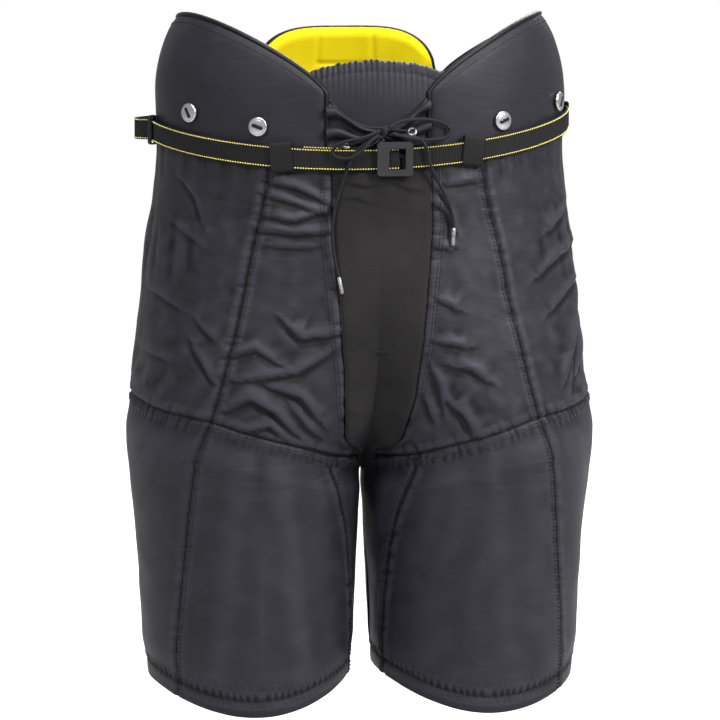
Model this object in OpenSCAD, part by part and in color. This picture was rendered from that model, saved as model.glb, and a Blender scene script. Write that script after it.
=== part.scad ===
// Ice hockey pants: a padded nylon shell that opens into two legs, with side wings, a front
// tongue, a spine pad, a belt with a slide buckle, a tied lace and suspender buttons.
// Millimetres. +Z is up, the front faces -Y, and +X is at the right of a front view.
// The origin is the middle of the waist, at belt height.

/* [Body of the pants] */
// Width of the waist at the belt
waist_w = 368; // [356:1:380]
// Depth of the waist from front to back
waist_d = 240; // [232:1:248]
// Depth at the fullest part of the seat
seat_d = 268; // [260:1:276]
// Width across both thighs at the crotch
thigh_w = 418; // [410:1:424]
// Width across both legs at the hems
hem_w = 383; // [378:1:392]
// Gap between the two legs at the hems
hem_gap = 24; // [18:1:28]

/* [Heights] */
// Belt height down to the front of the hems
hem_drop = 502; // [498:1:512]
// Belt height up to the top of the side wings
wing_rise = 121; // [116:1:128]
// Height of the wings at their front and back edges
wing_end_rise = 50; // [46:1:56]
// Belt height up to the top of the spine pad
spine_rise = 106; // [98:1:112]
// Belt height up to the top of the tongue
tongue_rise = 82; // [76:1:88]

/* [Belt] */
// Width of the belt webbing
belt_w = 19; // [17:0.5:20]
// Thickness of the belt webbing
belt_t = 1.5; // [1.2:0.1:1.8]
// Height of the belt's middle at the sides
belt_side_z = 22; // [20:1:24]
// How far the belt's middle dips from the sides to the front
belt_dip = 27; // [24:1:28]
// How much higher the belt sits on the right side than in the middle
belt_tilt = 5; // [0:1:6]
// How far the slack belt bows out behind the left side loop
belt_slack = 18; // [0:1:20]

/* [Buttons and lace] */
// Radius of a suspender button's cap
button_r = 8.5; // [8:0.1:9]
// Length of the straight wall of a button's cap
button_wall = 2.4; // [2:0.1:3]
// Diameter of the lace
lace_d = 3; // [2.6:0.1:3.2]
// Inner radius of an eyelet
eyelet_r = 2.6; // [2.2:0.1:2.8]

/* [Hidden] */
$fn = 48;

// Layers of the padded shell, as [outer, inner] insets from its outer face
cloth = [0, 2];
plate = [3.5, 5.5];
foam = [7, 14];
liner = [15.5, 17];
leg_foam = [7, 12];
leg_liner_layer = [13.5, 15];
hem_layer = [-0.5, 2.5];
tongue_cover_layer = [4, 6.5];
tongue_foam_layer = [8, 14];

crotch_drop = 275;
seam_gap = 0.3;            // half the gap between two sewn panels
hip_z = -135;              // height of the axis that the legs swing about
hip_cut_r = 150;           // the legs part from the waist on a cylinder about that axis
hip_gap = 0.6;             // each side's distance from that cylinder
leg_mid = thigh_w / 4;      // middle of each leg at the crotch, where the legs just touch
leg_mid_hem = (hem_w + hem_gap) / 4;
hem_band_h = 14;
wing_front_x = 46;         // wing's front edge from the middle
wing_back_t = 150;         // wing's back edge, degrees round from the front
wing_peak_t = 78;
wing_notch_z = 60;         // height of a wing's back corner
spine_shoulder_z = 64;     // height at which the spine pad's corners start
spine_edge_t = 28;         // half the angle that the spine pad spans
spine_base_z = 36;
tongue_edge_t = 21;
tongue_base_z = -55;
facing_low_rise = 22;      // height of the lace facing's edge in the middle
belt_inset = -4;           // the belt rides this far outside the shell
loop_w = 20;
// Turns of the belt loops, and [turn, height] of the suspender buttons, for each side
left_loops = [27, 89, 150];
right_loops = [27, 96, 150];
left_buttons = [[34.5, 23.5], [60, 34.5], [142, 43]];
right_buttons = [[38, 27.5], [69, 42], [142, 47]];
button_standoff = 2.5;
buckle_x = 13;
eyelet_x = 29;
eyelet_z = 13;
lace_skew = 6;             // the right eyelet sits this much above the middle, the left below
lace_r = lace_d / 2;

nylon = [0.17, 0.17, 0.19];
knit = [0.19, 0.18, 0.17];
lining = [0.10, 0.10, 0.11];
plastic = [0.75, 0.77, 0.80];
sponge = [0.45, 0.46, 0.50];
yellow = [0.93, 0.86, 0.05];
webbing = [0.07, 0.07, 0.07];
steel = [0.78, 0.79, 0.80];

// ---- Outline of the shell: half width, middle of each leg, half depth and middle, by height

half_w_at = [
    [-hem_drop, hem_w / 2], [-crotch_drop - 75, thigh_w / 2 - 8], [-crotch_drop, thigh_w / 2],
    [-233, thigh_w / 2], [-175, thigh_w / 2 - 6], [-130, waist_w / 2 + 14],
    [-85, waist_w / 2 + 12], [-45, waist_w / 2 + 4], [0, waist_w / 2],
    [60, waist_w / 2 - 1], [95, waist_w / 2 - 8], [wing_rise, waist_w / 2 - 19]
];
mid_x_at = [
    [-hem_drop, leg_mid_hem], [-crotch_drop, leg_mid], [-255, leg_mid - 6],
    [-225, 82], [-180, 56], [-120, 26], [-60, 8], [0, 0]
];
half_d_at = [
    [-hem_drop, 98], [-350, 104], [-crotch_drop, 113], [-200, seat_d / 2 - 5],
    [-130, seat_d / 2], [-60, waist_d / 2 + 6], [0, waist_d / 2],
    [60, waist_d / 2 - 2], [wing_rise, waist_d / 2 - 12]
];
mid_y_at = [[-hem_drop, 0], [-crotch_drop, 2], [-130, 8], [0, 0]];

function half_w(z) = lookup(z, half_w_at);
function mid_x(z) = lookup(z, mid_x_at);
function half_d(z) = lookup(z, half_d_at);
function mid_y(z) = lookup(z, mid_y_at);
function mix(a, b, f) = a + (b - a) * f;

// A point of the right half: t degrees round from the front, at height z, set in by inset
function shell(t, z, inset) = [
    mid_x(z) + (half_w(z) - mid_x(z) - inset) * sin(t),
    mid_y(z) - (half_d(z) - inset) * cos(t),
    z
];
// The angle at which the shell's front is x from the middle plane
function turn(x, z, inset) =
    asin(max(-1, min(1, (x - mid_x(z)) / (half_w(z) - mid_x(z) - inset))));
function flip_x(p) = [-p.x, p.y, p.z];

// ---- Seams and edges, as angles by height or heights by angle

// Edge of the stretch fly, and the front seam that runs down each side of it
fly_edge_at = [
    [-290, -68], [-270, -68], [-262, -49], [-245, -35], [-212, -18], [-150, 0], [-77, 11], [0, 15]
];
front_seam_at = [
    [-hem_drop, 53.5], [-426, 48], [-327, 37.5], [-245, 29.5], [-180, 31], [-110, 32.5], [0, 31]
];
inner_seam_at = [[-hem_drop, -72], [-408, -65], [-338, -55], [-282, -40], [-240, -36]];
side_seam_t = 122;
gusset_t = 22;             // half the angle that the gusset spans on the inner thigh

function fly_edge(z) = lookup(z, fly_edge_at);
function front_seam(z) = lookup(z, front_seam_at);
function inner_seam(z) = lookup(z, inner_seam_at);
function seat_edge(z) = min(180 - turn(seam_gap, z, 0), 270 - gusset_t);
function dip(t) = t < 90 ? pow(cos(t), 1.4) : 0;
function waist_seam(t) = belt_side_z - belt_dip * dip(t);
function hem(t) = -hem_drop + 25 * pow(sin(t), 2) + 5 * (1 - cos(t)) - 3 * sin(t);
function hip_cut(t, r, inset = 0, n = 4, z = -260) =
    n == 0 ? z
    : hip_cut(t, r, inset, n - 1, hip_z - sqrt(r * r - pow(shell(t, z, inset).y, 2)));
// Height at which the two halves of the shell meet, for an angle on the inner thigh
function crease(t, inset, low = -crotch_drop, high = -120, n = 18) =
    let (z = (low + high) / 2)
    n == 0 ? z
    : shell(t, z, inset).x > 0 ? crease(t, inset, z, high, n - 1)
    : crease(t, inset, low, z, n - 1);
function wing_top(t) = t < wing_peak_t
    ? mix(wing_end_rise, wing_rise, pow(1 - pow((wing_peak_t - t) / (wing_peak_t - 14), 2), 0.75))
    : mix(wing_notch_z, wing_rise,
          pow(1 - pow((t - wing_peak_t) / (wing_back_t - wing_peak_t), 2), 0.75));
function facing_top(t) =
    mix(facing_low_rise, wing_end_rise, pow(min(1, abs(t) / turn(wing_front_x, 0, 0)), 2));
function spine_top(t) =
    mix(spine_shoulder_z, spine_rise, sqrt(max(0, 1 - pow(abs(t) / spine_edge_t, 4))));
function tongue_top(t) = tongue_rise - 12 * pow(t / tongue_edge_t, 2);

// ---- Sheets

// Closed solid between an outer and an inner grid of points, with rows running down
module skin(outer, inner, ring = false) {
    rows = len(outer) - 1;
    cols = len(outer[0]) - 1;
    width = cols + 1;
    back = (rows + 1) * width;
    points = concat([for (row = outer) each row], [for (row = inner) each row]);
    function at(j, i) = j * width + (ring ? i % width : i);
    last = ring ? cols : cols - 1;
    quads = concat(
        [for (j = [0:rows - 1], i = [0:last])
            [at(j, i), at(j, i + 1), at(j + 1, i + 1), at(j + 1, i)]],
        [for (j = [0:rows - 1], i = [0:last])
            [back + at(j + 1, i), back + at(j + 1, i + 1), back + at(j, i + 1), back + at(j, i)]],
        [for (i = [0:last]) [at(0, i), back + at(0, i), back + at(0, i + 1), at(0, i + 1)]],
        [for (i = [0:last])
            [at(rows, i), at(rows, i + 1), back + at(rows, i + 1), back + at(rows, i)]],
        ring ? [] : [for (j = [0:rows - 1])
            [at(j, 0), at(j + 1, 0), back + at(j + 1, 0), back + at(j, 0)]],
        ring ? [] : [for (j = [0:rows - 1])
            [at(j, cols), back + at(j, cols), back + at(j + 1, cols), at(j + 1, cols)]]
    );
    polyhedron(points, [for (q = quads) each [[q[0], q[1], q[2]], [q[0], q[2], q[3]]]]);
}

// Height of an edge for the share u of the way from angle lo(z) to angle hi(z)
function edge_z(lo, hi, edge, u, z = -100, n = 4) =
    n == 0 ? z : edge_z(lo, hi, edge, u, edge(mix(lo(z), hi(z), u)), n - 1);

function grid(lo, hi, top, low, inset, nu, nv, ring = false) = [
    for (j = [0:nv]) [
        for (i = [0:(ring ? nu - 1 : nu)])
            let (
                u = i / nu,
                z = mix(edge_z(lo, hi, top, u), edge_z(lo, hi, low, u), j / nv)
            )
            shell(mix(lo(z), hi(z), u), z, inset)
    ]
];
// One patch of a layer on the right half of the shell
module patch(layer, lo, hi, top, low, nu = 8, nv = 8) {
    skin(
        grid(lo, hi, function (t) top(t, layer[0]), function (t) low(t, layer[0]), layer[0], nu, nv),
        grid(lo, hi, function (t) top(t, layer[1]), function (t) low(t, layer[1]), layer[1], nu, nv)
    );
}
// A grid across the middle plane, out to the angle edge(z) on both sides, at the front or back
function middle_grid(edge, top, low, inset, nu, nv, back) = [
    for (j = [0:nv]) [
        for (i = [-nu:nu])
            let (
                u = abs(i) / nu,
                lo = function (z) turn(0, z, inset),
                z = mix(edge_z(lo, edge, top, u), edge_z(lo, edge, low, u), j / nv),
                t = mix(turn(0, z, inset), edge(z), u),
                p = shell(back ? 180 - t : t, z, inset)
            )
            [(i == 0 ? 0 : sign(i)) * (back ? -1 : 1) * p.x, p.y, p.z]
    ]
];
module middle_patch(layer, edge, top, low, back = false, nu = 5, nv = 6) {
    skin(
        middle_grid(edge, top, low, layer[0], nu, nv, back),
        middle_grid(edge, top, low, layer[1], nu, nv, back)
    );
}
module left() {
    mirror([1, 0, 0]) children();
}

above_cut = function (t, inset) hip_cut(t, hip_cut_r - hip_gap, inset);
below_cut = function (t, inset) hip_cut(t, hip_cut_r + hip_gap, inset);
under_waist_seam = function (t, inset) waist_seam(t) - seam_gap;

// ---- Shell above the legs

module front_panel() {
    color(nylon) patch(cloth, function (z) fly_edge(z) + seam_gap, function (z) front_seam(z) - seam_gap,
        under_waist_seam, above_cut, 8, 12);
}
module side_panel() {
    color(nylon) patch(cloth, function (z) front_seam(z) + seam_gap, function (z) side_seam_t - seam_gap,
        under_waist_seam, above_cut, 10, 10);
}
module seat_panel() {
    color(nylon) patch(cloth, function (z) side_seam_t + seam_gap, function (z) seat_edge(z),
        under_waist_seam, above_cut, 10, 12);
}
module fly_panel() {
    top = function (t) waist_seam(t) - seam_gap;
    rows = 12;
    half = 4;
    low_z = -258;
    function side(inset) = [
        for (j = [0:rows]) [
            for (i = [-half:half])
                let (
                    u = abs(i) / half,
                    z = mix(top(u * fly_edge(0)), low_z, j / rows),
                    p = shell(mix(turn(0, z, inset), fly_edge(z) - seam_gap, u), z, inset)
                )
                [(i == 0 ? 0 : sign(i)) * p.x, p.y, p.z]
        ]
    ];
    color(knit) skin(side(cloth[0]), side(cloth[1]));
}
module crotch_gusset() {
    cols = 8;
    half = 3;
    function side(inset) = [
        for (j = [-half:half]) [
            for (i = [0:cols])
                let (
                    t = mix(-90 - gusset_t, -90 + gusset_t, i / cols),
                    z = mix(crease(t, inset), above_cut(t, inset), abs(j) / half),
                    p = shell(t, z, inset)
                )
                [j == 0 ? 0 : sign(j) * p.x, p.y, p.z]
        ]
    ];
    color(knit) skin(side(cloth[0]), side(cloth[1]));
}
module hip_plate() {
    color(plastic) patch(plate, function (z) 62, function (z) 116,
        function (t, inset) waist_seam(t) - 45, function (t, inset) -205, 6, 6);
}
module hip_pad() {
    color(sponge) patch(foam, function (z) 48, function (z) 130,
        function (t, inset) waist_seam(t) - 25, function (t, inset) -220, 8, 6);
}
module tailbone_pad() {
    color(sponge) middle_patch(foam, function (z) turn(55, z, 0), function (t) -40, function (t) -190, true);
}
module waist_liner() {
    color(lining) patch(liner, function (z) 30, function (z) min(180 - turn(1, z, liner[0]), 220),
        function (t, inset) waist_seam(t) - 6, above_cut, 12, 8);
}
module back_waistband() {
    color(nylon) middle_patch([0, 15], function (z) spine_edge_t, function (t) spine_base_z - 6,
        function (t) waist_seam(180) + seam_gap, true, 5, 2);
}

// ---- Side wings

wing_lo = turn(wing_front_x, 0, 0);

module wing_layer(layer, lo, hi, inset_edge) {
    patch(layer, function (z) lo, function (z) hi,
        function (t, inset) wing_top(t) - inset_edge,
        function (t, inset) waist_seam(t) + seam_gap + inset_edge, 18, 6);
}
module wing_cover() {
    color(nylon) wing_layer(cloth, wing_lo + 0.2, wing_back_t, 0);
}
module wing_plate() {
    color(plastic) wing_layer(plate, 30, 141, 12);
}
module wing_foam() {
    color(sponge) wing_layer(foam, 27, 144, 8);
}
module wing_liner() {
    color(lining) wing_layer(liner, 25, 146, 4);
}

// Puts its children on the shell, with +Z along the outward normal
module on_shell(t, z, out = 0) {
    p = shell(t, z, 0);
    normal = [sin(t) / half_w(z), -cos(t) / half_d(z)];
    angle = atan2(normal.y, normal.x);
    translate([p.x, p.y, z]) rotate([0, 0, angle]) rotate([0, 90, 0]) translate([0, 0, out]) children();
}
module suspender_button() {
    shank_r = 3.2;
    sunk = 1;
    dome = 1;
    translate([0, 0, -sunk]) cylinder(r = shank_r, h = button_standoff + sunk + 0.5);
    translate([0, 0, button_standoff]) cylinder(r = button_r, h = button_wall);
    translate([0, 0, button_standoff + button_wall])
        cylinder(r1 = button_r, r2 = button_r - 2 * dome, h = dome);
}
module suspender_buttons(side) {
    color(steel) for (place = side < 0 ? left_buttons : right_buttons)
        on_shell(place[0], place[1]) suspender_button();
}

// ---- Belt

// A point of the whole waist, with turn counted on past 180 degrees to the left side
function waist_point(t, z, inset) =
    t <= 180 ? shell(t, z, inset) : t <= 360 ? flip_x(shell(360 - t, z, inset)) : shell(t - 360, z, inset);
function belt_mid(t) = belt_side_z - belt_dip * dip(t <= 180 ? t : abs(360 - t)) + belt_tilt * sin(t);
function belt_turn(side, t) = side > 0 ? t : 360 - t;
slack_start = 264;
slack_end = 220;
function slack(t) =
    t < slack_start && t > slack_end
    ? belt_slack * sin(180 * sqrt((slack_start - t) / (slack_start - slack_end))) : 0;

module strap(t0, t1, inset, lift, cols) {
    function side(depth) = [
        for (edge = [0.5, -0.5]) [
            for (i = [0:cols])
                let (t = mix(t0, t1, i / cols))
                waist_point(t, belt_mid(t) + lift + edge * belt_w, depth - slack(t))
        ]
    ];
    color(webbing) skin(side(inset - belt_t), side(inset));
}
module waist_belt() {
    strap(turn(25, 0, 0), 360 + turn(17, 0, 0), belt_inset, 0, 72);
}
module belt_tail() {
    strap(360 - turn(66, 0, 0), 360 - turn(36, 0, 0), -1, 2, 6);
}
module belt_loop() {
    reach = 6;
    wall = 1;
    standoff = 1.8;
    height = belt_w + 7;
    rotate([90, 0, 0]) linear_extrude(loop_w, center = true) difference() {
        translate([-height / 2, standoff]) square([height, reach]);
        translate([-height / 2 + wall, standoff + wall]) square([height - 2 * wall, reach - 2 * wall]);
    }
}
// Each loop leans with the belt that runs through it
module belt_loops() {
    step = 2;
    color(webbing) for (side = [-1, 1], t = side < 0 ? left_loops : right_loops) {
        rise = belt_mid(belt_turn(side, t + step)) - belt_mid(belt_turn(side, t - step));
        run = norm(shell(t + step, 0, 0) - shell(t - step, 0, 0));
        mirror([side < 0 ? 1 : 0, 0, 0]) on_shell(t, belt_mid(belt_turn(side, t)))
            rotate([0, 0, atan(rise / run)]) belt_loop();
    }
}
module belt_buckle() {
    size = [32, 30];
    corner = 3;
    front = 3;
    channel = [belt_w + 3, 4.4];
    rear = 1.4;
    window = [15, 18.5];
    rear_bar = 7;
    depth = front + channel[1] + rear;
    y = shell(turn(buckle_x, 0, 0), 0, belt_inset - belt_t / 2).y;
    slope = atan(buckle_x * half_d(0) / pow(half_w(0), 2));
    color(webbing) translate([buckle_x, y, belt_mid(4)]) rotate([0, 0, slope]) rotate([90, 0, 0])
        translate([0, 0, -channel[1] / 2 - rear]) difference() {
            linear_extrude(depth) hull() for (x = [-1, 1], z = [-1, 1])
                translate([x * (size.x / 2 - corner), z * (size.y / 2 - corner)]) circle(corner, $fn = 32);
            translate([-size.x, -channel[0] / 2, rear]) cube([2 * size.x, channel[0], channel[1]]);
            translate([-window.x / 2 + 2, -window.y / 2, rear]) cube([window.x, window.y, depth]);
            for (x = [-size.x - rear_bar / 2, rear_bar / 2])
                translate([x, -channel[0] / 2, -1]) cube([size.x, channel[0], rear + 2]);
        }
}

// ---- Lace

module lace_facing() {
    color(nylon) patch(cloth, function (z) turn(seam_gap, z, 0), function (z) wing_lo - 0.2,
        function (t, inset) facing_top(t), function (t, inset) waist_seam(t) + seam_gap, 5, 4);
}
module lace_eyelets() {
    width = 2;
    color(steel) for (side = [-1, 1])
        mirror([side < 0 ? 1 : 0, 0, 0]) on_shell(turn(eyelet_x, 0, 0), eyelet_z + side * lace_skew, 0.2)
            rotate_extrude() translate([eyelet_r, 0]) square([width, 1.2]);
}

// Round tube of lace along a route, one ring to a point
module cord(route) {
    sides = 8;
    n = len(route) - 1;
    function heading(k) =
        let (d = route[min(n, k + 1)] - route[max(0, k - 1)]) d / norm(d);
    rings = [
        for (k = [0:n])
            let (
                d = heading(k),
                a = cross(d, [0, 1, 0]) / norm(cross(d, [0, 1, 0])),
                b = cross(d, a)
            )
            [for (s = [0:sides - 1]) route[k] + lace_r * (a * cos(360 * s / sides) + b * sin(360 * s / sides))]
    ];
    walls = [
        for (k = [0:n - 1], s = [0:sides - 1])
            let (p = k * sides + s, q = k * sides + (s + 1) % sides)
            each [[p, p + sides, q + sides], [p, q + sides, q]]
    ];
    polyhedron(
        [for (ring = rings) each ring],
        concat([[for (s = [0:sides - 1]) s]], walls, [[for (s = [sides - 1:-1:0]) n * sides + s]])
    );
}

knot_at = [4, -126.5, 20];
knot_r = 5;
loop_left = [
    [0, -127, 20], [-8, -128, 17], [-17, -129, 14], [-27, -128, 12], [-36, -127, 9], [-42, -126, 4],
    [-41, -126, -1], [-34, -128, -4], [-26, -130, -3], [-17, -131, 3], [-9, -130, 11], [-1, -128, 17]
];
loop_right = [
    [9, -127, 23], [18, -126, 28], [30, -125, 30], [42, -122, 30], [53, -119, 28], [61, -117, 24],
    [64, -116, 20], [62, -118, 15], [54, -121, 12.5], [44, -124, 12], [33, -127, 13], [22, -128, 15],
    [11, -128, 18]
];
end_left = [
    [0, -126, 17], [-9, -126, 12], [-17, -127, 6], [-23, -127, 0], [-26, -127, -6], [-29, -127, -13],
    [-31, -125, -19], [-34, -124, -28], [-37, -124, -38], [-40, -124, -50], [-42, -125, -64],
    [-42, -126, -76], [-41, -127, -88], [-39, -128, -99], [-37, -129, -108]
];
end_right = [
    [9, -126, 17], [18, -126, 16], [27, -126, 15], [36, -126, 12.5], [42, -126.5, 4],
    [44, -126.5, -7], [48, -125, -17], [53, -122, -26], [58, -120, -35], [63, -119, -46],
    [66, -119, -56], [67, -120, -66]
];
tip_left = [-34, -130, -123];
tip_right = [66, -121, -82];
crossing_left = [[-29, -121, 7], [-22, -122, 9], [-14, -123, 12], [-6, -124, 15], [1, -125, 18]];
crossing_right = [[28, -121, 19], [22, -122, 20], [15, -124, 21], [8, -125, 21]];

module lace_knot() {
    color(webbing) translate(knot_at) sphere(knot_r);
}
module lace_crossing() {
    color(webbing) {
        cord(crossing_left);
        cord(crossing_right);
    }
}
module lace_loops() {
    color(webbing) {
        cord(loop_left);
        cord(loop_right);
    }
}
module lace_end_left() {
    color(webbing) cord(end_left);
}
module lace_end_right() {
    color(webbing) cord(end_right);
}
module tip(start, end) {
    d = end - start;
    translate(start) rotate([0, acos(d.z / norm(d)), atan2(d.y, d.x)])
        translate([0, 0, 0.6]) cylinder(r = lace_r + 0.2, h = norm(d) - 0.6);
}
module lace_tips() {
    color(steel) {
        tip(end_left[len(end_left) - 1], tip_left);
        tip(end_right[len(end_right) - 1], tip_right);
    }
}

// ---- Tongue and spine pad

module tongue_cover() {
    color(nylon) middle_patch(tongue_cover_layer, function (z) tongue_edge_t, function (t) tongue_top(t),
        function (t) tongue_base_z);
}
module tongue_foam() {
    color(sponge) middle_patch(tongue_foam_layer, function (z) tongue_edge_t - 1,
        function (t) tongue_top(t) - 3, function (t) tongue_base_z + 3);
}
module spine_layer(layer, margin) {
    middle_patch(layer, function (z) spine_edge_t - margin / 4,
        function (t) spine_top(t) - margin, function (t) spine_base_z, true, 6, 5);
}
module spine_pad_cover() {
    color(nylon) spine_layer(cloth, 0);
}
module spine_pad_plate() {
    color(plastic) spine_layer(plate, 10);
}
module spine_pad_foam() {
    color(sponge) spine_layer(foam, 6);
}
module spine_pad_liner() {
    color(yellow) spine_layer(liner, 1);
}

// ---- Legs

above_hem = function (t, inset) hem(t) + hem_band_h + seam_gap;

module thigh_front_panel() {
    color(nylon) patch(cloth, function (z) inner_seam(z), function (z) front_seam(z) - seam_gap,
        below_cut, above_hem, 10, 8);
}
module thigh_side_panel() {
    color(nylon) patch(cloth, function (z) front_seam(z) + seam_gap, function (z) side_seam_t - seam_gap,
        below_cut, above_hem, 9, 8);
}
module thigh_back_panel() {
    color(nylon) patch(cloth, function (z) side_seam_t + seam_gap, function (z) 359 + inner_seam(z),
        below_cut, above_hem, 14, 8);
}
module thigh_guard() {
    color(plastic) patch(plate, function (z) -25, function (z) 105,
        function (t, inset) below_cut(t, inset) - 15, function (t, inset) hem(t) + 30, 10, 6);
}
module thigh_foam() {
    color(sponge) patch(leg_foam, function (z) -45, function (z) 125,
        function (t, inset) below_cut(t, inset) - 8, function (t, inset) hem(t) + 22, 12, 6);
}
module tube(layer, top, low, cols, rows) {
    skin(
        grid(function (z) -90, function (z) 270, function (t) top(t, layer[0]),
            function (t) low(t, layer[0]), layer[0], cols, rows, true),
        grid(function (z) -90, function (z) 270, function (t) top(t, layer[1]),
            function (t) low(t, layer[1]), layer[1], cols, rows, true),
        true
    );
}
module leg_liner() {
    color(lining) tube(leg_liner_layer, below_cut, function (t, inset) hem(t) + 6, 28, 6);
}
module leg_hem() {
    color(nylon) tube(hem_layer, function (t, inset) hem(t) + hem_band_h - seam_gap,
        function (t, inset) hem(t), 36, 1);
}

left() front_panel();  // front_panel_left
front_panel();  // front_panel_right
left() side_panel();  // side_panel_left
side_panel();  // side_panel_right
left() seat_panel();  // seat_panel_left
seat_panel();  // seat_panel_right
fly_panel();
crotch_gusset();
left() hip_plate();  // hip_plate_left
hip_plate();  // hip_plate_right
left() hip_pad();  // hip_pad_left
hip_pad();  // hip_pad_right
tailbone_pad();
left() waist_liner();  // waist_liner_left
waist_liner();  // waist_liner_right
back_waistband();
left() wing_cover();  // wing_cover_left
wing_cover();  // wing_cover_right
left() wing_plate();  // wing_plate_left
wing_plate();  // wing_plate_right
left() wing_foam();  // wing_foam_left
wing_foam();  // wing_foam_right
left() wing_liner();  // wing_liner_left
wing_liner();  // wing_liner_right
left() suspender_buttons(-1);  // suspender_buttons_left
suspender_buttons(1);  // suspender_buttons_right
waist_belt();
belt_tail();
belt_loops();
belt_buckle();
left() lace_facing();  // lace_facing_left
lace_facing();  // lace_facing_right
lace_eyelets();
lace_knot();
lace_crossing();
lace_loops();
lace_end_left();
lace_end_right();
lace_tips();
tongue_cover();
tongue_foam();
spine_pad_cover();
spine_pad_plate();
spine_pad_foam();
spine_pad_liner();
left() thigh_front_panel();  // thigh_front_panel_left
thigh_front_panel();  // thigh_front_panel_right
left() thigh_side_panel();  // thigh_side_panel_left
thigh_side_panel();  // thigh_side_panel_right
left() thigh_back_panel();  // thigh_back_panel_left
thigh_back_panel();  // thigh_back_panel_right
left() thigh_guard();  // thigh_guard_left
thigh_guard();  // thigh_guard_right
left() thigh_foam();  // thigh_foam_left
thigh_foam();  // thigh_foam_right
left() leg_liner();  // leg_liner_left
leg_liner();  // leg_liner_right
left() leg_hem();  // leg_hem_left
leg_hem();  // leg_hem_right
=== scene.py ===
"""Ice hockey pants: cloth, padding, webbing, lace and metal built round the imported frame.

Lengths inside the script are millimetres until a mesh is made. Each half of the shell is drawn on
the +X side, as points (t, z): t degrees round from the front and z the height, then mirrored.
"""
import bpy
import math
import numpy as np
from mathutils import Matrix, Vector, noise


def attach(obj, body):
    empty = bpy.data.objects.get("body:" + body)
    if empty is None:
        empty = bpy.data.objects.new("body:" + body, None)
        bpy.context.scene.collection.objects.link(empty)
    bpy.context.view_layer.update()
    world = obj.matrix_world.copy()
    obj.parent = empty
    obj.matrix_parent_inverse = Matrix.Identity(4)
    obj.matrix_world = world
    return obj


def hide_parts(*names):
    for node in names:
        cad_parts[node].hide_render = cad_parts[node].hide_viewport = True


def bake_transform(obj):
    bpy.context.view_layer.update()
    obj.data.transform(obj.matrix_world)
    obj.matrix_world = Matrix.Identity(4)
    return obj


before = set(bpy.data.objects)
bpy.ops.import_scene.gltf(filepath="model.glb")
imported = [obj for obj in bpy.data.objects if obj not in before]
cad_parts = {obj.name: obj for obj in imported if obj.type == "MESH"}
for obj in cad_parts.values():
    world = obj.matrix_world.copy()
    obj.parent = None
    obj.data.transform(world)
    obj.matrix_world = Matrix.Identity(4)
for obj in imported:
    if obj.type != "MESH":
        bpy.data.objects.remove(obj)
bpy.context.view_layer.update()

MM = 0.001
LEFT, RIGHT = -1, 1
SIDE_NAME = {LEFT: "left", RIGHT: "right"}

# ---------------------------------------------------------------- sizes shared with the frame

HEM_DROP = 502
CROTCH_Z = -275
WING_RISE = 121
WING_END_RISE = 50
WING_BACK_T = 150
WING_PEAK_T = 78
WING_NOTCH_Z = 60
SPINE_SHOULDER_Z = 64
SPINE_RISE = 106
SPINE_EDGE_T = 28
SPINE_BASE_Z = 36
TONGUE_RISE = 82
TONGUE_EDGE_T = 21
TONGUE_BASE_Z = -55
FACING_LOW_RISE = 22
FACING_EDGE_T = 14.5
HEM_BAND = 14
FLY_END_Z = -262
FACING_HALF_W = 47
EYELET_X = 29
BELT_W = 19
BELT_T = 1.5
BELT_INSET = -4
BELT_TILT = 5
BELT_SLACK = 18
SLACK_FROM_T = 220
SLACK_TO_T = 264
BUTTON_R = 8.5
BUTTON_STANDOFF = 2.5
BUTTON_PLACES = {
    LEFT: ((34.5, 23.5), (60, 34.5), (142, 43)),
    RIGHT: ((38, 27.5), (69, 42), (142, 47)),
}
LACE_D = 3.0
LOOP_W = 20
LOOP_ANGLES = {LEFT: (27, 89, 150), RIGHT: (27, 96, 150)}


def mix(a, b, f):
    return a + (b - a) * f


def smooth(f):
    f = min(max(f, 0.0), 1.0)
    return f * f * (3 - 2 * f)


def bell(distance, width):
    return math.exp(-((distance / width) ** 2))


def curve(points):
    """A smooth curve through (x, value) points, as a function of x."""
    pts = sorted(points)
    last = len(pts) - 1

    def slope(k):
        a, b = pts[max(k - 1, 0)], pts[min(k + 1, last)]
        return (b[1] - a[1]) / (b[0] - a[0])

    slopes = [slope(k) for k in range(last + 1)]

    def value(x):
        x = min(max(x, pts[0][0]), pts[last][0])
        k = 0
        while k < last - 1 and pts[k + 1][0] < x:
            k += 1
        span = pts[k + 1][0] - pts[k][0]
        f = (x - pts[k][0]) / span
        f2, f3 = f * f, f * f * f
        return (
            pts[k][1] * (2 * f3 - 3 * f2 + 1)
            + slopes[k] * span * (f3 - 2 * f2 + f)
            + pts[k + 1][1] * (3 * f2 - 2 * f3)
            + slopes[k + 1] * span * (f3 - f2)
        )

    return value


half_w = curve([
    (-HEM_DROP, 191.5), (-350, 201), (CROTCH_Z, 209), (-233, 209), (-175, 203), (-130, 198),
    (-85, 195), (-45, 188), (0, 184), (60, 183), (95, 176), (WING_RISE, 165),
])
mid_x = curve([
    (-HEM_DROP, 101.75), (-350, 103.8), (CROTCH_Z, 104.5), (-255, 98.5), (-225, 82), (-180, 56),
    (-120, 26), (-60, 8), (0, 0), (60, 0), (WING_RISE, 0),
])
half_d = curve([
    (-HEM_DROP, 98), (-350, 104), (CROTCH_Z, 113), (-200, 129), (-130, 134), (-60, 126),
    (0, 120), (60, 118), (WING_RISE, 108),
])
mid_y = curve([(-HEM_DROP, 0), (CROTCH_Z, 2), (-130, 8), (0, 0), (60, 0), (WING_RISE, 0)])
fly_edge = curve([
    (-290, -68), (-270, -68), (-262, -49), (-245, -35), (-212, -18), (-150, 0), (-77, 11), (0, 15),
    (22, 15),
])
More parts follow.
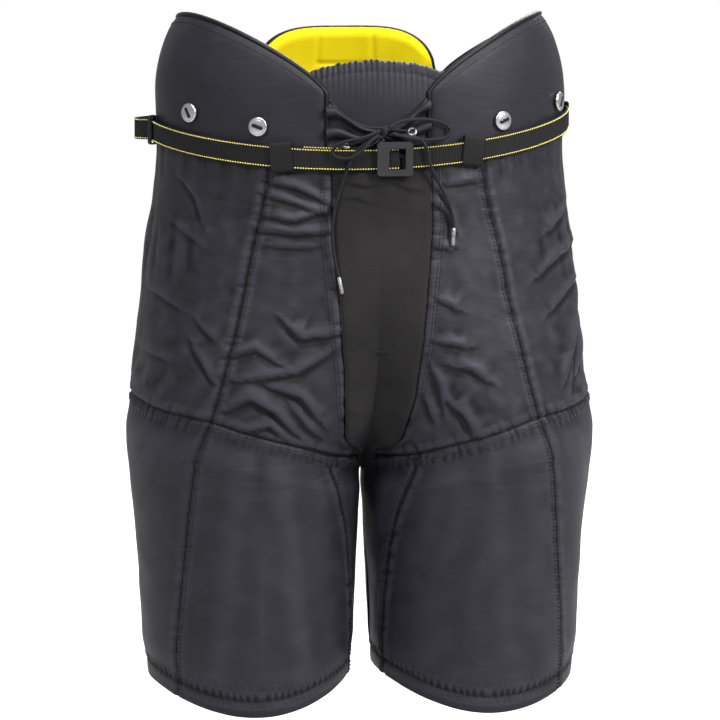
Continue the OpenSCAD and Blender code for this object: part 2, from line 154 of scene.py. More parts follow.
front_seam = curve([
    (-HEM_DROP, 53.5), (-426, 48), (-327, 37.5), (-245, 29.5), (-180, 31), (-110, 32.5), (0, 31),
    (22, 31),
])
side_seam = curve([(-HEM_DROP, 122), (WING_RISE, 122)])
inner_seam = curve([(-HEM_DROP, -72), (-408, -65), (-338, -55), (-282, -40), (-260, -36)])
thigh_seam = curve([
    (-90, -280), (-42, -271), (-22, -263), (0, -253), (12, -247), (29, -238), (60, -229),
    (90, -220), (150, -224), (200, -240), (235, -265), (270, -280),
])


def shell(t, z, inset=0.0):
    """A point of the right half, t degrees round from the front, set in from the outer face."""
    a = math.radians(t)
    return Vector((
        mid_x(z) + (half_w(z) - mid_x(z) - inset) * math.sin(a),
        mid_y(z) - (half_d(z) - inset) * math.cos(a),
        z,
    ))


def turn(x, z):
    """The angle at which the front of the shell is x from the middle plane."""
    return math.degrees(math.asin(min(max((x - mid_x(z)) / (half_w(z) - mid_x(z)), -1), 1)))


def dip(t):
    return math.cos(math.radians(t)) ** 1.4 if abs(t) < 90 else 0.0


def waist_seam(t):
    return 22 - 27 * dip(t)


def hem(t):
    s, c = math.sin(math.radians(t)), math.cos(math.radians(t))
    return -HEM_DROP + 25 * s * s + 5 * (1 - c) - 3 * s


def share_top(low, high, distance, reach):
    return mix(low, high, max(0.0, 1 - (distance / reach) ** 2) ** 0.75)


def wing_top(t):
    if t < WING_PEAK_T:
        return share_top(WING_END_RISE, WING_RISE, WING_PEAK_T - t, WING_PEAK_T - 14)
    return share_top(WING_NOTCH_Z, WING_RISE, t - WING_PEAK_T, WING_BACK_T - WING_PEAK_T)


def facing_top(t):
    return mix(FACING_LOW_RISE, WING_END_RISE, min(1.0, abs(t) / FACING_EDGE_T) ** 2)


def spine_top(t):
    return mix(SPINE_SHOULDER_Z, SPINE_RISE, math.sqrt(max(0.0, 1 - (abs(t) / SPINE_EDGE_T) ** 4)))


def tongue_top(t):
    return TONGUE_RISE - 12 * (t / TONGUE_EDGE_T) ** 2


def wave(u, seed, scale):
    """Smooth noise from -1 to 1 along one direction."""
    return noise.noise(Vector((u / scale, seed, seed * 0.37)))


def rough(p, seed, scale):
    """Smooth noise from -1 to 1 in space."""
    return noise.noise(Vector((p[0] / scale + seed, p[1] / scale, p[2] / scale - seed)))


# ---------------------------------------------------------------- materials


def node_tree(name):
    material = bpy.data.materials.new(name)
    material.use_nodes = True
    tree = material.node_tree
    return material, tree.nodes, tree.links, tree.nodes["Principled BSDF"]


def set_inputs(shader, **values):
    for key, value in values.items():
        shader.inputs[key.replace("_", " ")].default_value = value


def made(nodes, kind, **values):
    """A new shader node with some of its inputs set."""
    node = nodes.new(f"ShaderNode{kind}")
    set_inputs(node, **values)
    return node


def combined(nodes, links, operation, first, second):
    node = made(nodes, "Math")
    node.operation = operation
    links.new(first, node.inputs[0])
    links.new(second, node.inputs[1])
    return node.outputs["Value"]


def tinted(nodes, links, shader, dark, light, scale, detail=4.0):
    """Base colour that drifts between two colours over the surface."""
    place = made(nodes, "TexCoord")
    cloud = made(nodes, "TexNoise", Scale=scale, Detail=detail)
    ramp = made(nodes, "ValToRGB")
    for stop, position, color in zip(ramp.color_ramp.elements, (0.3, 0.7), (dark, light)):
        stop.position = position
        stop.color = (*color, 1)
    links.new(place.outputs["Object"], cloud.inputs["Vector"])
    links.new(cloud.outputs["Fac"], ramp.inputs["Fac"])
    links.new(ramp.outputs["Color"], shader.inputs["Base Color"])
    return place, cloud


def tone_and_painted_light(nodes, links, shader, factor):
    """Multiplies the base colour by a factor: the tone of the weft streaks, and the painted shade and
    highlight of tucks and rolls.
    """
    tone = made(nodes, "VectorMath")
    tone.operation = "SCALE"
    links.new(shader.inputs["Base Color"].links[0].from_socket, tone.inputs[0])
    links.new(factor, tone.inputs["Scale"])
    links.new(tone.outputs["Vector"], shader.inputs["Base Color"])


def bumped(nodes, links, shader, height, strength, distance):
    bump = made(nodes, "Bump", Strength=strength, Distance=distance)
    links.new(height, bump.inputs["Height"])
    links.new(bump.outputs["Normal"], shader.inputs["Normal"])


def weave(nodes, links, place, across, along):
    """Height of a plain weave on the piece's own flat coordinates, which are in millimetres."""
    bands = []
    for direction, pitch in (("X", across), ("Y", along)):
        band = made(nodes, "TexWave", Scale=0.314 / pitch, Distortion=0.6, Detail=1.0)
        band.bands_direction = direction
        links.new(place.outputs["UV"], band.inputs["Vector"])
        bands.append(band.outputs["Fac"])
    return combined(nodes, links, "MULTIPLY", *bands)


def streaked(nodes, links, place, strength):
    """Fine uneven lines along the weft: a factor round 1 that multiplies the colour."""
    stretch = made(nodes, "Mapping", Scale=(0.03, 0.9, 1))
    lines = made(nodes, "TexNoise", Scale=1.0, Detail=3.0)
    span = made(nodes, "MapRange", From_Min=0.3, From_Max=0.7, To_Min=1 - strength, To_Max=1 + strength)
    links.new(place.outputs["UV"], stretch.inputs["Vector"])
    links.new(stretch.outputs["Vector"], lines.inputs["Vector"])
    links.new(lines.outputs["Fac"], span.inputs["Value"])
    return span.outputs["Result"]


def painted_fold_light_factor(nodes, links, darkest, lightest):
    """Painted shade and highlight: a factor for the base colour that is smallest deep in a tuck and
    greatest at the top of a roll of cloth.
    """
    painted_fold_light = made(nodes, "Attribute")
    painted_fold_light.attribute_name = "painted_fold_light"
    span = made(nodes, "MapRange", From_Min=-1, From_Max=1, To_Min=lightest, To_Max=darkest)
    links.new(painted_fold_light.outputs["Fac"], span.inputs["Value"])
    return span.outputs["Result"]


def cloth_material(name, dark, light, pitch, depth, roughness, specular, sheen=0.05, sheen_roughness=0.4,
                   streaks=0.0):
    """Woven cloth between two colours: pitch and depth of the weave are in millimetres. With streaks, the
    colour also takes painted shade in tucks and painted highlight on rolls.
    """
    material, nodes, links, shader = node_tree(name)
    place, _ = tinted(nodes, links, shader, dark, light, 14.0)
    height = weave(nodes, links, place, *pitch)
    if streaks:
        lines = streaked(nodes, links, place, streaks)
        tone_and_painted_light(nodes, links, shader, lines)
        height = combined(nodes, links, "ADD", height, lines)
        # Painted shade deep in tucks and painted highlight on the tops of rolls, from each point's tuck
        # depth
        tone_and_painted_light(nodes, links, shader, painted_fold_light_factor(nodes, links, 0.2, 1.35))
    bumped(nodes, links, shader, height, 0.7, depth * MM)
    set_inputs(shader, Roughness=roughness, Sheen_Weight=sheen, Sheen_Roughness=sheen_roughness,
               Specular_IOR_Level=specular, Sheen_Tint=(0.75, 0.78, 0.9, 1))
    return material


NYLON = cloth_material("oxford_nylon", (0.0205, 0.0192, 0.0265), (0.0275, 0.0258, 0.035), (1.0, 1.0),
                       depth=0.16, roughness=0.42, specular=0.24, sheen=0.02, streaks=0.16)
BINDING = cloth_material("binding_ribbon", (0.004, 0.004, 0.005), (0.007, 0.007, 0.008), (0.6, 1.4),
                         depth=0.1, roughness=0.45, specular=0.25, sheen=0.02)
KNIT = cloth_material("stretch_knit", (0.016, 0.0145, 0.015), (0.026, 0.0235, 0.024), (1.3, 1.9),
                      depth=0.45, roughness=0.85, specular=0.2, sheen=0.04, sheen_roughness=0.6,
                      streaks=0.04)
LINING = cloth_material("black_lining", (0.008, 0.008, 0.009), (0.014, 0.014, 0.016), (1.6, 1.6),
                        depth=0.3, roughness=0.85, specular=0.2, sheen_roughness=0.5)
YELLOW = cloth_material("yellow_lining", (0.74, 0.575, 0.0), (0.80, 0.625, 0.002), (1.2, 1.2),
                        depth=0.12, roughness=0.7, specular=0.2, sheen=0.0)
WEBBING = cloth_material("black_webbing", (0.006, 0.006, 0.0065), (0.012, 0.012, 0.013), (0.8, 1.2),
                         depth=0.35, roughness=0.75, specular=0.22, sheen=0.03, sheen_roughness=0.5)
LACE = cloth_material("black_lace", (0.006, 0.006, 0.007), (0.012, 0.012, 0.014), (0.9, 0.9),
                      depth=0.25, roughness=0.7, specular=0.25, sheen_roughness=0.5)
THREAD = cloth_material("black_thread", (0.006, 0.006, 0.007), (0.012, 0.012, 0.014), (0.5, 0.5),
                        depth=0.1, roughness=0.5, specular=0.3, sheen_roughness=0.5)
# Near-black beads in the seam grooves: painted shade
SEAM_SHADE = cloth_material("painted_seam_shade_paint", (0.002, 0.002, 0.002), (0.004, 0.004, 0.004), (0.5, 0.5),
                            depth=0.1, roughness=0.9, specular=0.1, sheen=0.0)
YELLOW_THREAD = cloth_material("yellow_thread", (0.85, 0.68, 0.10), (0.95, 0.84, 0.28), (0.5, 0.5),
                               depth=0.1, roughness=0.6, specular=0.2, sheen_roughness=0.5)


def plastic_material(name, color, roughness, grain):
    material, nodes, links, shader = node_tree(name)
    lighter = tuple(c * 1.4 for c in color)
    _, cloud = tinted(nodes, links, shader, color, lighter, 60.0)
    fine = made(nodes, "TexNoise", Scale=1500.0)
    links.new(cloud.outputs["Fac"], fine.inputs["Detail"])
    bumped(nodes, links, shader, fine.outputs["Fac"], 0.4, grain * MM)
    set_inputs(shader, Roughness=roughness, Coat_Weight=0.15, Coat_Roughness=0.3)
    return material


BUCKLE_PLASTIC = plastic_material("moulded_plastic", (0.017, 0.017, 0.019), 0.32, 0.08)
BADGE = plastic_material("black_enamel", (0.006, 0.006, 0.006), 0.25, 0.02)


def metal_material(name, dark, light, roughness):
    material, nodes, links, shader = node_tree(name)
    tinted(nodes, links, shader, dark, light, 220.0, 8.0)
    scratch = made(nodes, "TexNoise", Scale=900.0)
    bumped(nodes, links, shader, scratch.outputs["Fac"], 0.25, 0.04 * MM)
    set_inputs(shader, Metallic=1.0, Roughness=roughness)
    return material


STEEL = metal_material("satin_steel", (0.62, 0.62, 0.63), (0.80, 0.80, 0.81), 0.28)
DARK_NICKEL = metal_material("dark_nickel", (0.16, 0.16, 0.17), (0.34, 0.34, 0.35), 0.3)


def tip_material():
    material, nodes, links, shader = node_tree("lace_tip_film")
    tinted(nodes, links, shader, (0.10, 0.10, 0.11), (0.35, 0.35, 0.37), 400.0)
    set_inputs(shader, Roughness=0.12, Coat_Weight=1.0, Coat_Roughness=0.05)
    return material


TIP = tip_material()

# ---------------------------------------------------------------- meshes

# Painted shade and highlight: a tuck less deep than FOLD_FREE leaves the cloth's colour alone, and
# FOLD_DEPTH more paints full shade into it, as a roll that high gets full painted highlight. The rows
# and columns of points next to an edge get no painted shade or highlight.
FOLD_FREE = 0.06
FOLD_DEPTH = 0.6
FOLD_EDGE = 8


def new_object(name, points, faces, materials, side=RIGHT, uvs=None, face_materials=None, folds=None):
    """A smooth-shaded mesh object from points in millimetres, mirrored for the left side.

    folds says how far each point lies in a tuck, from -1 on top of a roll to 1 deep in a tuck, for the
    painted highlight and painted shade in the cloth's colour.
    """
    mesh = bpy.data.meshes.new(name)
    scale = Vector((side * MM, MM, MM))
    if side == LEFT:
        faces = [tuple(reversed(f)) for f in faces]
    mesh.from_pydata([p * scale for p in points], [], faces)
    for material in materials:
        mesh.materials.append(material)
    mesh.polygons.foreach_set("use_smooth", [True] * len(mesh.polygons))
    if face_materials:
        mesh.polygons.foreach_set("material_index", face_materials)
    if uvs:
        layer = mesh.uv_layers.new(name="flat")
        vertex_of = [0] * len(mesh.loops)
        mesh.loops.foreach_get("vertex_index", vertex_of)
        layer.data.foreach_set("uv", [c for v in vertex_of for c in uvs[v]])
    # The tuck depths go on the mesh for the painted shade and highlight of the cloth's colour
    if folds:
        layer = mesh.attributes.new("painted_fold_light", "FLOAT", "POINT")
        layer.data.foreach_set("value", folds)
    mesh.update()
    obj = bpy.data.objects.new(name, mesh)
    bpy.context.scene.collection.objects.link(obj)
    return obj


def applied(obj):
    """Turns the object's modifiers into mesh."""
    evaluated = obj.evaluated_get(bpy.context.evaluated_depsgraph_get())
    mesh = bpy.data.meshes.new_from_object(evaluated)
    obj.modifiers.clear()
    obj.data = mesh
    return obj


def placed(obj, body, slot, *nodes):
    """Says what the piece rides on and which CAD nodes it stands for; the slot argument is not used."""
    if body:
        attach(obj, body)
    if nodes:
        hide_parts(*nodes)
    return obj


def tube_faces(rings, sides, base=0, loop=False):
    """Faces that join rings of points, from each ring to the next, and round to the first in a loop."""
    faces = []
    for k in range(rings if loop else rings - 1):
        here, after = base + k * sides, base + (k + 1) % rings * sides
        for s in range(sides):
            n = (s + 1) % sides
            faces.append((here + s, here + n, after + n, after + s))
    return faces


def circle(sides):
    """The angles of evenly spaced points round a circle."""
    return [2 * math.pi * s / sides for s in range(sides)]


def cubic_weights(f):
    """How much the two points before and the two after count at f between the middle ones."""
    return (
        ((-0.5 * f + 1) * f - 0.5) * f,
        (1.5 * f - 2.5) * f * f + 1,
        ((-1.5 * f + 2) * f + 0.5) * f,
        (0.5 * f - 0.5) * f * f,
    )


class Grid:
    """Points in rows and columns, with u across the columns and v down the rows."""

    def __init__(self, cols, rows, place):
        self.cols, self.rows = cols, rows
        self.p = [[Vector(place(i / cols, j / rows)) for i in range(cols + 1)] for j in range(rows + 1)]

    def at(self, u, v):
        """The surface at (u, v), through the points by cubic curves."""
        x = min(max(u, 0), 1) * self.cols
        y = min(max(v, 0), 1) * self.rows
        i, j = min(int(x), self.cols - 1), min(int(y), self.rows - 1)
        wx, wy = cubic_weights(x - i), cubic_weights(y - j)
        total = Vector((0, 0, 0))
        for b in range(4):
            row = self.p[min(max(j + b - 1, 0), self.rows)]
            for a in range(4):
                total += row[min(max(i + a - 1, 0), self.cols)] * (wx[a] * wy[b])
        return total

    def normal(self, u, v):
        """Outward normal on the right half."""
        du, dv = 0.5 / self.cols, 0.5 / self.rows
        across = self.at(u + du, v) - self.at(u - du, v)
        down = self.at(u, v + dv) - self.at(u, v - dv)
        n = down.cross(across)
        return n.normalized() if n.length > 1e-9 else Vector((0, -1, 0))

    def line(self, places, out):
        """Points a little off the surface at (u, v) places."""
        return [self.at(u, v) + self.normal(u, v) * out for u, v in places]

    def array(self):
        return np.array([[tuple(point) for point in row] for row in self.p])

    def normals(self):
        """Unit normals of all the points at once."""
        data = self.array()
        normals = np.cross(np.gradient(data, axis=0), np.gradient(data, axis=1))
        return normals / np.maximum(np.linalg.norm(normals, axis=2, keepdims=True), 1e-9)

    def resampled(self, cols, rows):
        """The same surface on a grid of another size."""

        def finer(lines, count):
            last = lines.shape[0] - 1
            x = np.linspace(0, last, count + 1)
            i = np.minimum(x.astype(int), last - 1)
            weights = cubic_weights((x - i)[:, None, None])
            return sum(w * lines[np.clip(i + k - 1, 0, last)] for k, w in enumerate(weights))

        data = finer(self.array(), rows)
        data = finer(data.transpose(1, 0, 2), cols).transpose(1, 0, 2)
        return grid_of(data)

    def moved(self, shift):
        """A copy with each point moved along its normal by shift(u, v) millimetres."""
        data, normals = self.array(), self.normals()
        shifts = [
            [shift(i / self.cols, j / self.rows) for i in range(self.cols + 1)]
            for j in range(self.rows + 1)
        ]
        return grid_of(data + normals * np.array(shifts)[:, :, None])

    def flat(self):
        """Each point's place on the flat cloth: how far across and how far down, in millimetres."""
        uvs = []
        for row in self.p:
            across = 0.0
            for before, point in zip(row[:1] + row, row):
                across += (point - before).length
                uvs.append((across, point.z))
        return uvs

    def faces(self):
        w = self.cols + 1
        return [
            (j * w + i, (j + 1) * w + i, (j + 1) * w + i + 1, j * w + i + 1)
            for j in range(self.rows) for i in range(self.cols)
        ]

    def points(self):
        return [point for row in self.p for point in row]

    def build(self, name, materials, side=RIGHT):
        return new_object(name, self.points(), self.faces(), materials, side, self.flat(),
                          folds=self.folds())

    def folds(self):
        """How deep each point lies below the points round it, as a share of FOLD_DEPTH, for the painted
        shade and highlight of the cloth's colour.
        """
        data, normals = self.array(), self.normals()
        depth = np.zeros(data.shape[:2])
        for reach in (2, 4):
            padded = np.pad(data, ((reach, reach), (reach, reach), (0, 0)), "edge")
            shifts = [(0, reach), (2 * reach, reach), (reach, 0), (reach, 2 * reach)]
            rows, cols = depth.shape
            mean = sum(padded[a:a + rows, b:b + cols] for a, b in shifts) / 4
            depth += np.sum((mean - data) * normals, axis=2)
        depth[:FOLD_EDGE] = depth[-FOLD_EDGE:] = 0
        depth[:, :FOLD_EDGE] = depth[:, -FOLD_EDGE:] = 0
        depth = np.sign(depth) * np.maximum(np.abs(depth) - FOLD_FREE, 0)
        return [float(value) for value in np.clip(depth.ravel() / FOLD_DEPTH, -1, 1)]


def grid_of(data):
    """A grid from an array of rows of columns of points."""
    new = Grid.__new__(Grid)
    new.rows, new.cols = data.shape[0] - 1, data.shape[1] - 1
    new.p = [[Vector(point) for point in row] for row in data]
    return new


def closed_pad(name, outer, inner, materials, side=RIGHT):
    """A closed form between two grids of one size: materials are for the outer and inner face."""
    w = outer.cols + 1
    back = w * (outer.rows + 1)
    faces = outer.faces()
    face_materials = [0] * len(faces) + [1] * len(faces)
    faces += [tuple(back + k for k in reversed(f)) for f in faces]
    rim = list(range(w))
    rim += [j * w + outer.cols for j in range(1, outer.rows + 1)]
    rim += [outer.rows * w + i for i in range(outer.cols - 1, -1, -1)]
    rim += [j * w for j in range(outer.rows - 1, 0, -1)]
    for k, a in enumerate(rim):
        b = rim[(k + 1) % len(rim)]
        faces.append((a, b, back + b, back + a))
    face_materials += [0] * len(rim)
    uvs = outer.flat() + inner.flat()
    return new_object(name, outer.points() + inner.points(), faces, materials, side, uvs, face_materials)


class Parts:
    """Points and faces of several forms, gathered for one mesh."""

    def __init__(self):
        self.points, self.faces = [], []

    def add(self, points, faces):
        base = len(self.points)
        self.points += points
        self.faces += [tuple(base + k for k in face) for face in faces]

    def build(self, name, material, side=RIGHT):
        return new_object(name, self.points, self.faces, [material], side)


def beads(name, places, half_length, radius, material, side=RIGHT):
    """Small stretched beads, one for each (middle, direction) pair: stitches and edge threads."""
    rings, sides = 3, 6
    last = 1 + (rings - 1) * sides
    faces = tube_faces(rings, sides, 1)
    for s in range(sides):
        n = (s + 1) % sides
        faces += [(0, 1 + n, 1 + s), (last + s, last + n, last + sides)]
    parts = Parts()
    for middle, direction in places:
        d = direction.normalized()
        a = d.orthogonal().normalized()
        b = d.cross(a)
        points = [middle - d * half_length]
        for r in range(1, rings + 1):
            angle = math.pi * r / (rings + 1)
            for turned in circle(sides):
                ring = (a * math.cos(turned) + b * math.sin(turned)) * radius * math.sin(angle)
                points.append(middle - d * half_length * math.cos(angle) + ring)
        parts.add(points + [middle + d * half_length], faces)
    return parts.build(name, material, side)


def along(path, pitch):
    """Evenly spaced (point, direction) pairs along a list of points."""
    places = []
    travelled, due = 0.0, pitch / 2
    for a, b in zip(path, path[1:]):
        step = (b - a).length
        while step > 0 and due <= travelled + step:
            places.append((a.lerp(b, (due - travelled) / step), b - a))
            due += pitch
        travelled += step
    return places


def lathe(profile, sides=40):
    """Points and faces of a turned solid about +Z, from (radius, height) pairs off the axis."""
    points = [Vector((r * math.cos(a), r * math.sin(a), h)) for r, h in profile for a in circle(sides)]
    return points, tube_faces(len(profile), sides)


def on_shell(t, z):
    """The frame that puts local +Z on the shell's outward normal and local +X upwards."""
    a = math.radians(t)
    n = Vector((math.sin(a) / half_w(z), -math.cos(a) / half_d(z), 0)).normalized()
    up = Vector((0, 0, 1))
    place = Matrix((up, n.cross(up), n)).transposed().to_4x4()
    place.translation = shell(t, z)
    return place


def aimed(direction, place):
    """The frame at a place that puts local +Z along the direction."""
    matrix = direction.to_track_quat("Z", "Y").to_matrix().to_4x4()
    matrix.translation = place
    return matrix


def flat_shaded(obj):
    obj.data.polygons.foreach_set("use_smooth", [False] * len(obj.data.polygons))


# ---------------------------------------------------------------- the shell


def shell_lo(z):
    return turn(0, z)


def shell_place(u, v):
    """(t, z) of the shell at u from the front middle to the back middle and v from waist to hem."""
    z = mix(0, -HEM_DROP, v)
    t = 0.0
    for _ in range(4):
        t = mix(shell_lo(z), 180 - shell_lo(z), u)
        z = mix(waist_seam(t), hem(t), v)
    return t, z


def shell_uv(t, z):
    lo = shell_lo(z)
    top, low = waist_seam(t), hem(t)
    return (t - lo) / (180 - 2 * lo), (z - top) / (low - top)


def mean_radius(z):
    return (half_w(z) - mid_x(z) + half_d(z)) / 2


def around(dt, z):
    """Distance along the shell of dt degrees, in millimetres."""
    return abs(math.radians(dt)) * mean_radius(z)


# Steps of the draped grid and of the finished one, and how far the drape may move a point
SHELL_COLS, SHELL_ROWS = 116, 100
FINE_COLS, FINE_ROWS = 300, 256
SIM_FRAMES = 16
SIM_CAP = 5.0
CLOTH_SETTINGS = dict(
    quality=6, mass=0.2, tension_stiffness=20, compression_stiffness=20, shear_stiffness=8,
    bending_stiffness=1.2, pin_stiffness=0.6, shrink_min=0.0, shrink_max=-0.05,
    use_pressure=True, uniform_pressure_force=1.5,
)


def held(t, z):
    """How firmly the cloth is held to its form, from 0 to 1, for the drape."""
    if z > waist_seam(t) - 10 or z < hem(t) + 16:
        return 1.0
    if t < fly_edge(z) + 1.5 or t > 178 - shell_lo(z):
        return 1.0
    seam = bell(around(t - front_seam(z), z), 3)
    below = smooth((thigh_seam(t) - 4 - z) / 14)
    return max(0.04, 0.9 * seam, 0.75 * below, 0.9 * bell(z - thigh_seam(t), 4))


def fly_at(side, z):
    """The fly's edge, which stands a little nearer the middle on the left."""
    return fly_edge(z) - (2.0 * smooth((z - FLY_END_Z) / 50) if side == LEFT else 0)


def spare(t, z):
    """Share of the greatest spare cloth at a place: most round the hips and above the thigh seam."""
    above = 1 - smooth((thigh_seam(t) - z) / 12)
    crotch = bell(z + 230, 60) * bell(around(t - 5, z), 70)
    return min(1.0, above * (0.45 + 0.55 * crotch + 0.3 * bell(z - 5, 30)) + 0.04)


def drape(grid, seed):
    """Lets the shell's cloth buckle where it is cut larger than its form, by cloth simulation."""
    points = [p + Vector((rough(p, seed, 24), rough(p, seed + 5, 24), 0)) * 0.6 for p in grid.points()]
    obj = new_object("drape", points, grid.faces(), [])
    pin = obj.vertex_groups.new(name="pin")
    grow = obj.vertex_groups.new(name="grow")
    for k in range(len(points)):
        j, i = divmod(k, grid.cols + 1)
        t, z = shell_place(i / grid.cols, j / grid.rows)
        pin.add([k], held(t, z), "REPLACE")
        grow.add([k], spare(t, z), "REPLACE")
    cloth = obj.modifiers.new("cloth", "CLOTH")
    settings = cloth.settings
    for key, value in CLOTH_SETTINGS.items():
        setattr(settings, key, value)
    settings.vertex_group_mass = "pin"
    settings.vertex_group_shrink = "grow"
    settings.effector_weights.gravity = 0.15
    cloth.collision_settings.use_collision = False
    scene = bpy.context.scene
    cloth.point_cache.frame_end = SIM_FRAMES
    for number in range(1, SIM_FRAMES + 1):
        scene.frame_set(number)
    applied(obj)
    rest = grid.array().reshape(-1, 3)
    draped = np.empty(len(rest) * 3)
    obj.data.vertices.foreach_get("co", draped)
    move = draped.reshape(-1, 3) / MM - rest
    far = np.maximum(np.linalg.norm(move, axis=1, keepdims=True), 1e-9)
    move *= np.minimum(1.0, SIM_CAP / far)
    bpy.data.objects.remove(obj)
    scene.frame_set(1)
    return grid_of((rest + move).reshape(grid.rows + 1, grid.cols + 1, 3))


# Creases of the front of each half: depth, width of the roll above, then (x, z) along the crease
CREASES = {
    LEFT: (
        (2.6, 5, (95, -25), (74, -29), (43, -44)),
        (2.2, 4, (99, -36), (78, -42), (46, -53)),
        (3.2, 6, (96, -55), (74, -59), (41, -48)),
        (3.4, 6, (104, -67), (74, -70), (48, -69)),
        (1.2, 4, (100, -80), (74, -82), (56, -81)),
        (2.6, 6, (82, -150), (69, -162), (34, -158)),
        (2.4, 5, (130, -177), (109, -172), (90, -184)),
        (2.8, 7, (126, -200), (74, -193), (46, -176)),
        (3.6, 7, (134, -226), (114, -216), (92, -228), (74, -247)),
        (2.4, 5, (118, -244), (96, -240), (84, -250)),
        (2.8, 6, (100, -204), (70, -214), (52, -236)),
        (2.0, 4, (78, -222), (62, -242), (52, -250)),
        (2.4, 4, (160, -172), (152, -188), (146, -200)),
        (0.8, 4, (156, -150), (142, -166)),
        (0.6, 7, (178, -60), (150, -84)),
        (0.7, 8, (196, -120), (168, -140)),
        (0.6, 7, (200, -176), (176, -186)),
        (0.6, 6, (170, -20), (156, -40), (150, -64)),
    ),
    RIGHT: (
        (2.0, 5, (61, -28), (92, -24)),
        (1.6, 4, (44, -40), (62, -52), (70, -70)),
        (1.4, 4, (50, -82), (66, -84)),
        (1.6, 5, (51, -128), (71, -138)),
        (2.2, 5, (49, -166), (79, -171)),
        (2.8, 6, (66, -188), (82, -191), (98, -202)),
        (2.2, 5, (47, -190), (54, -204), (58, -224)),
        (3.2, 6, (64, -222), (76, -232), (88, -250)),
        (2.0, 5, (42, -216), (50, -236)),
        (1.8, 5, (160, -72), (186, -50)),
        (2.0, 5, (148, -112), (168, -96), (188, -86)),
        (2.0, 5, (160, -144), (176, -128), (194, -116)),
        (2.6, 5, (181, -217), (182, -189), (186, -164), (193, -134), (194, -108)),
        (2.2, 4, (188, -202), (194, -184), (200, -160)),
        (2.0, 4, (174, -206), (180, -180)),
        (1.6, 4, (190, -90), (196, -76)),
    ),
}
CREASE_DEPTH = 1.45
CREASE_WIDTH = 1.7
BACK_CREASES = (
    (2.4, 7, (30, -150), (70, -160), (110, -160)), (2.8, 7, (40, -186), (90, -200), (126, -200)),
    (2.6, 6, (34, -214), (70, -230), (104, -232)), (1.8, 6, (70, -70), (140, -82)),
    (2.0, 6, (120, -110), (176, -128)), (2.0, 5, (150, -170), (190, -160)),
)


def crease_height(x, z, creases):
    """Height that the creases add: a soft roll above each line and a sharp tuck below it."""
    total = 0.0
    for depth, roll, *line in creases:
        depth *= CREASE_DEPTH
        roll *= CREASE_WIDTH
        near, side_of, share = 1e9, 0.0, 0.0
        steps = len(line) - 1
        for k in range(steps):
            (x0, z0), (x1, z1) = line[k], line[k + 1]
            dx, dz = x1 - x0, z1 - z0
            length = math.hypot(dx, dz)
            f = min(max(((x - x0) * dx + (z - z0) * dz) / (length * length), 0), 1)
            off_x, off_z = x - x0 - f * dx, z - z0 - f * dz
            distance = math.hypot(off_x, off_z)
            if distance < near:
                near, share = distance, (k + f) / steps
                side_of = off_z * dx - off_x * dz if dx > 0 else off_x * dz - off_z * dx
        if near > 3 * roll:
            continue
        near *= 1 + 0.35 * wave(20 * share + line[0][0], 4.5, 6)
        ends = math.sin(math.pi * min(max(share, 0.04), 0.96)) ** 0.6
        if side_of > 0:
            total += depth * ends * bell(near, roll)
        else:
            total += depth * ends * (1.7 * bell(near, 1.7) - 0.7 * bell(near, 4.5))
    return total


def seam_dent(distance, run, seed):
    """A sewn seam: a narrow groove, soft rolls beside it and puckers along it."""
    pucker = wave(run, seed, 3.2) * 1.0 + wave(run, seed + 9, 9) * 0.7
    return -1.7 * bell(distance, 1.6) + 0.5 * bell(distance - 5, 3) + pucker * bell(distance - 3.5, 4.5)


def shell_relief(side, t, z, p):
    """Millimetres that the sewn detail adds to the draped shell."""
    seed = 3.1 if side == LEFT else 7.7
    run = around(t, z)
    loose = 1 - smooth((thigh_seam(t) - z) / 12)
    puckered = 0.5 + 0.5 * loose
    total = puckered * seam_dent(around(t - front_seam(z), z), z, seed)
    total += puckered * seam_dent(around(t - side_seam(z), z), z, seed + 1) if z < 20 else 0
    if z < -282:
        total += seam_dent(around(t - inner_seam(z), z), z, seed + 2)
    total += seam_dent(abs(z - thigh_seam(t)), run, seed + 3)
    below_seam = thigh_seam(t) - z
    if 0 < below_seam < 26:
        total += 0.5 * math.sin(run / 1.25 + 4 * wave(run, seed, 22)) * bell(below_seam - 5, 6)
    edge = fly_at(side, z)
    total += 0.8 * seam_dent(around(t - edge, z), z, seed + 4) if z > FLY_END_Z - 4 else 0
    below_belt = waist_seam(t) - z
    total += 1.1 * math.sin(run / 1.35 + 3 * wave(run, seed, 14)) * math.exp(-below_belt / 9)
    total += (0.8 + wave(run, seed + 4, 26)) * math.sin(run / 3.4) * math.exp(-below_belt / 20)
    at_front = smooth((102 - t) / 26)
    if at_front > 0:
        total += at_front * crease_height(p.x, z, CREASES[side])
    if at_front < 1:
        total += (1 - at_front) * crease_height(p.x, z, BACK_CREASES)
    total += (0.25 + 0.7 * loose) * rough(p, seed, 42) + (0.08 + 0.3 * loose) * rough(p, seed + 2, 13)
    above_hem = z - hem(t)
    total += 0.8 * math.sin(run / 1.1 + 2 * wave(run, seed + 6, 20)) * bell(above_hem - HEM_BAND - 2, 4)
    total -= 1.2 * bell(above_hem - HEM_BAND, 1.6)
    total += 0.6 * bell(above_hem - 6, 5)
    thigh = smooth((below_seam - 6) / 26) * smooth((above_hem - 6) / 30)
    total += (2.2 + 1.6 * wave(run + 0.12 * z, seed + 12, 30)) * thigh
    fly_cover = smooth((edge - t) / 3) if z > FLY_END_Z else 0
    return total * (1 - 0.8 * fly_cover) - 1.2 * fly_cover


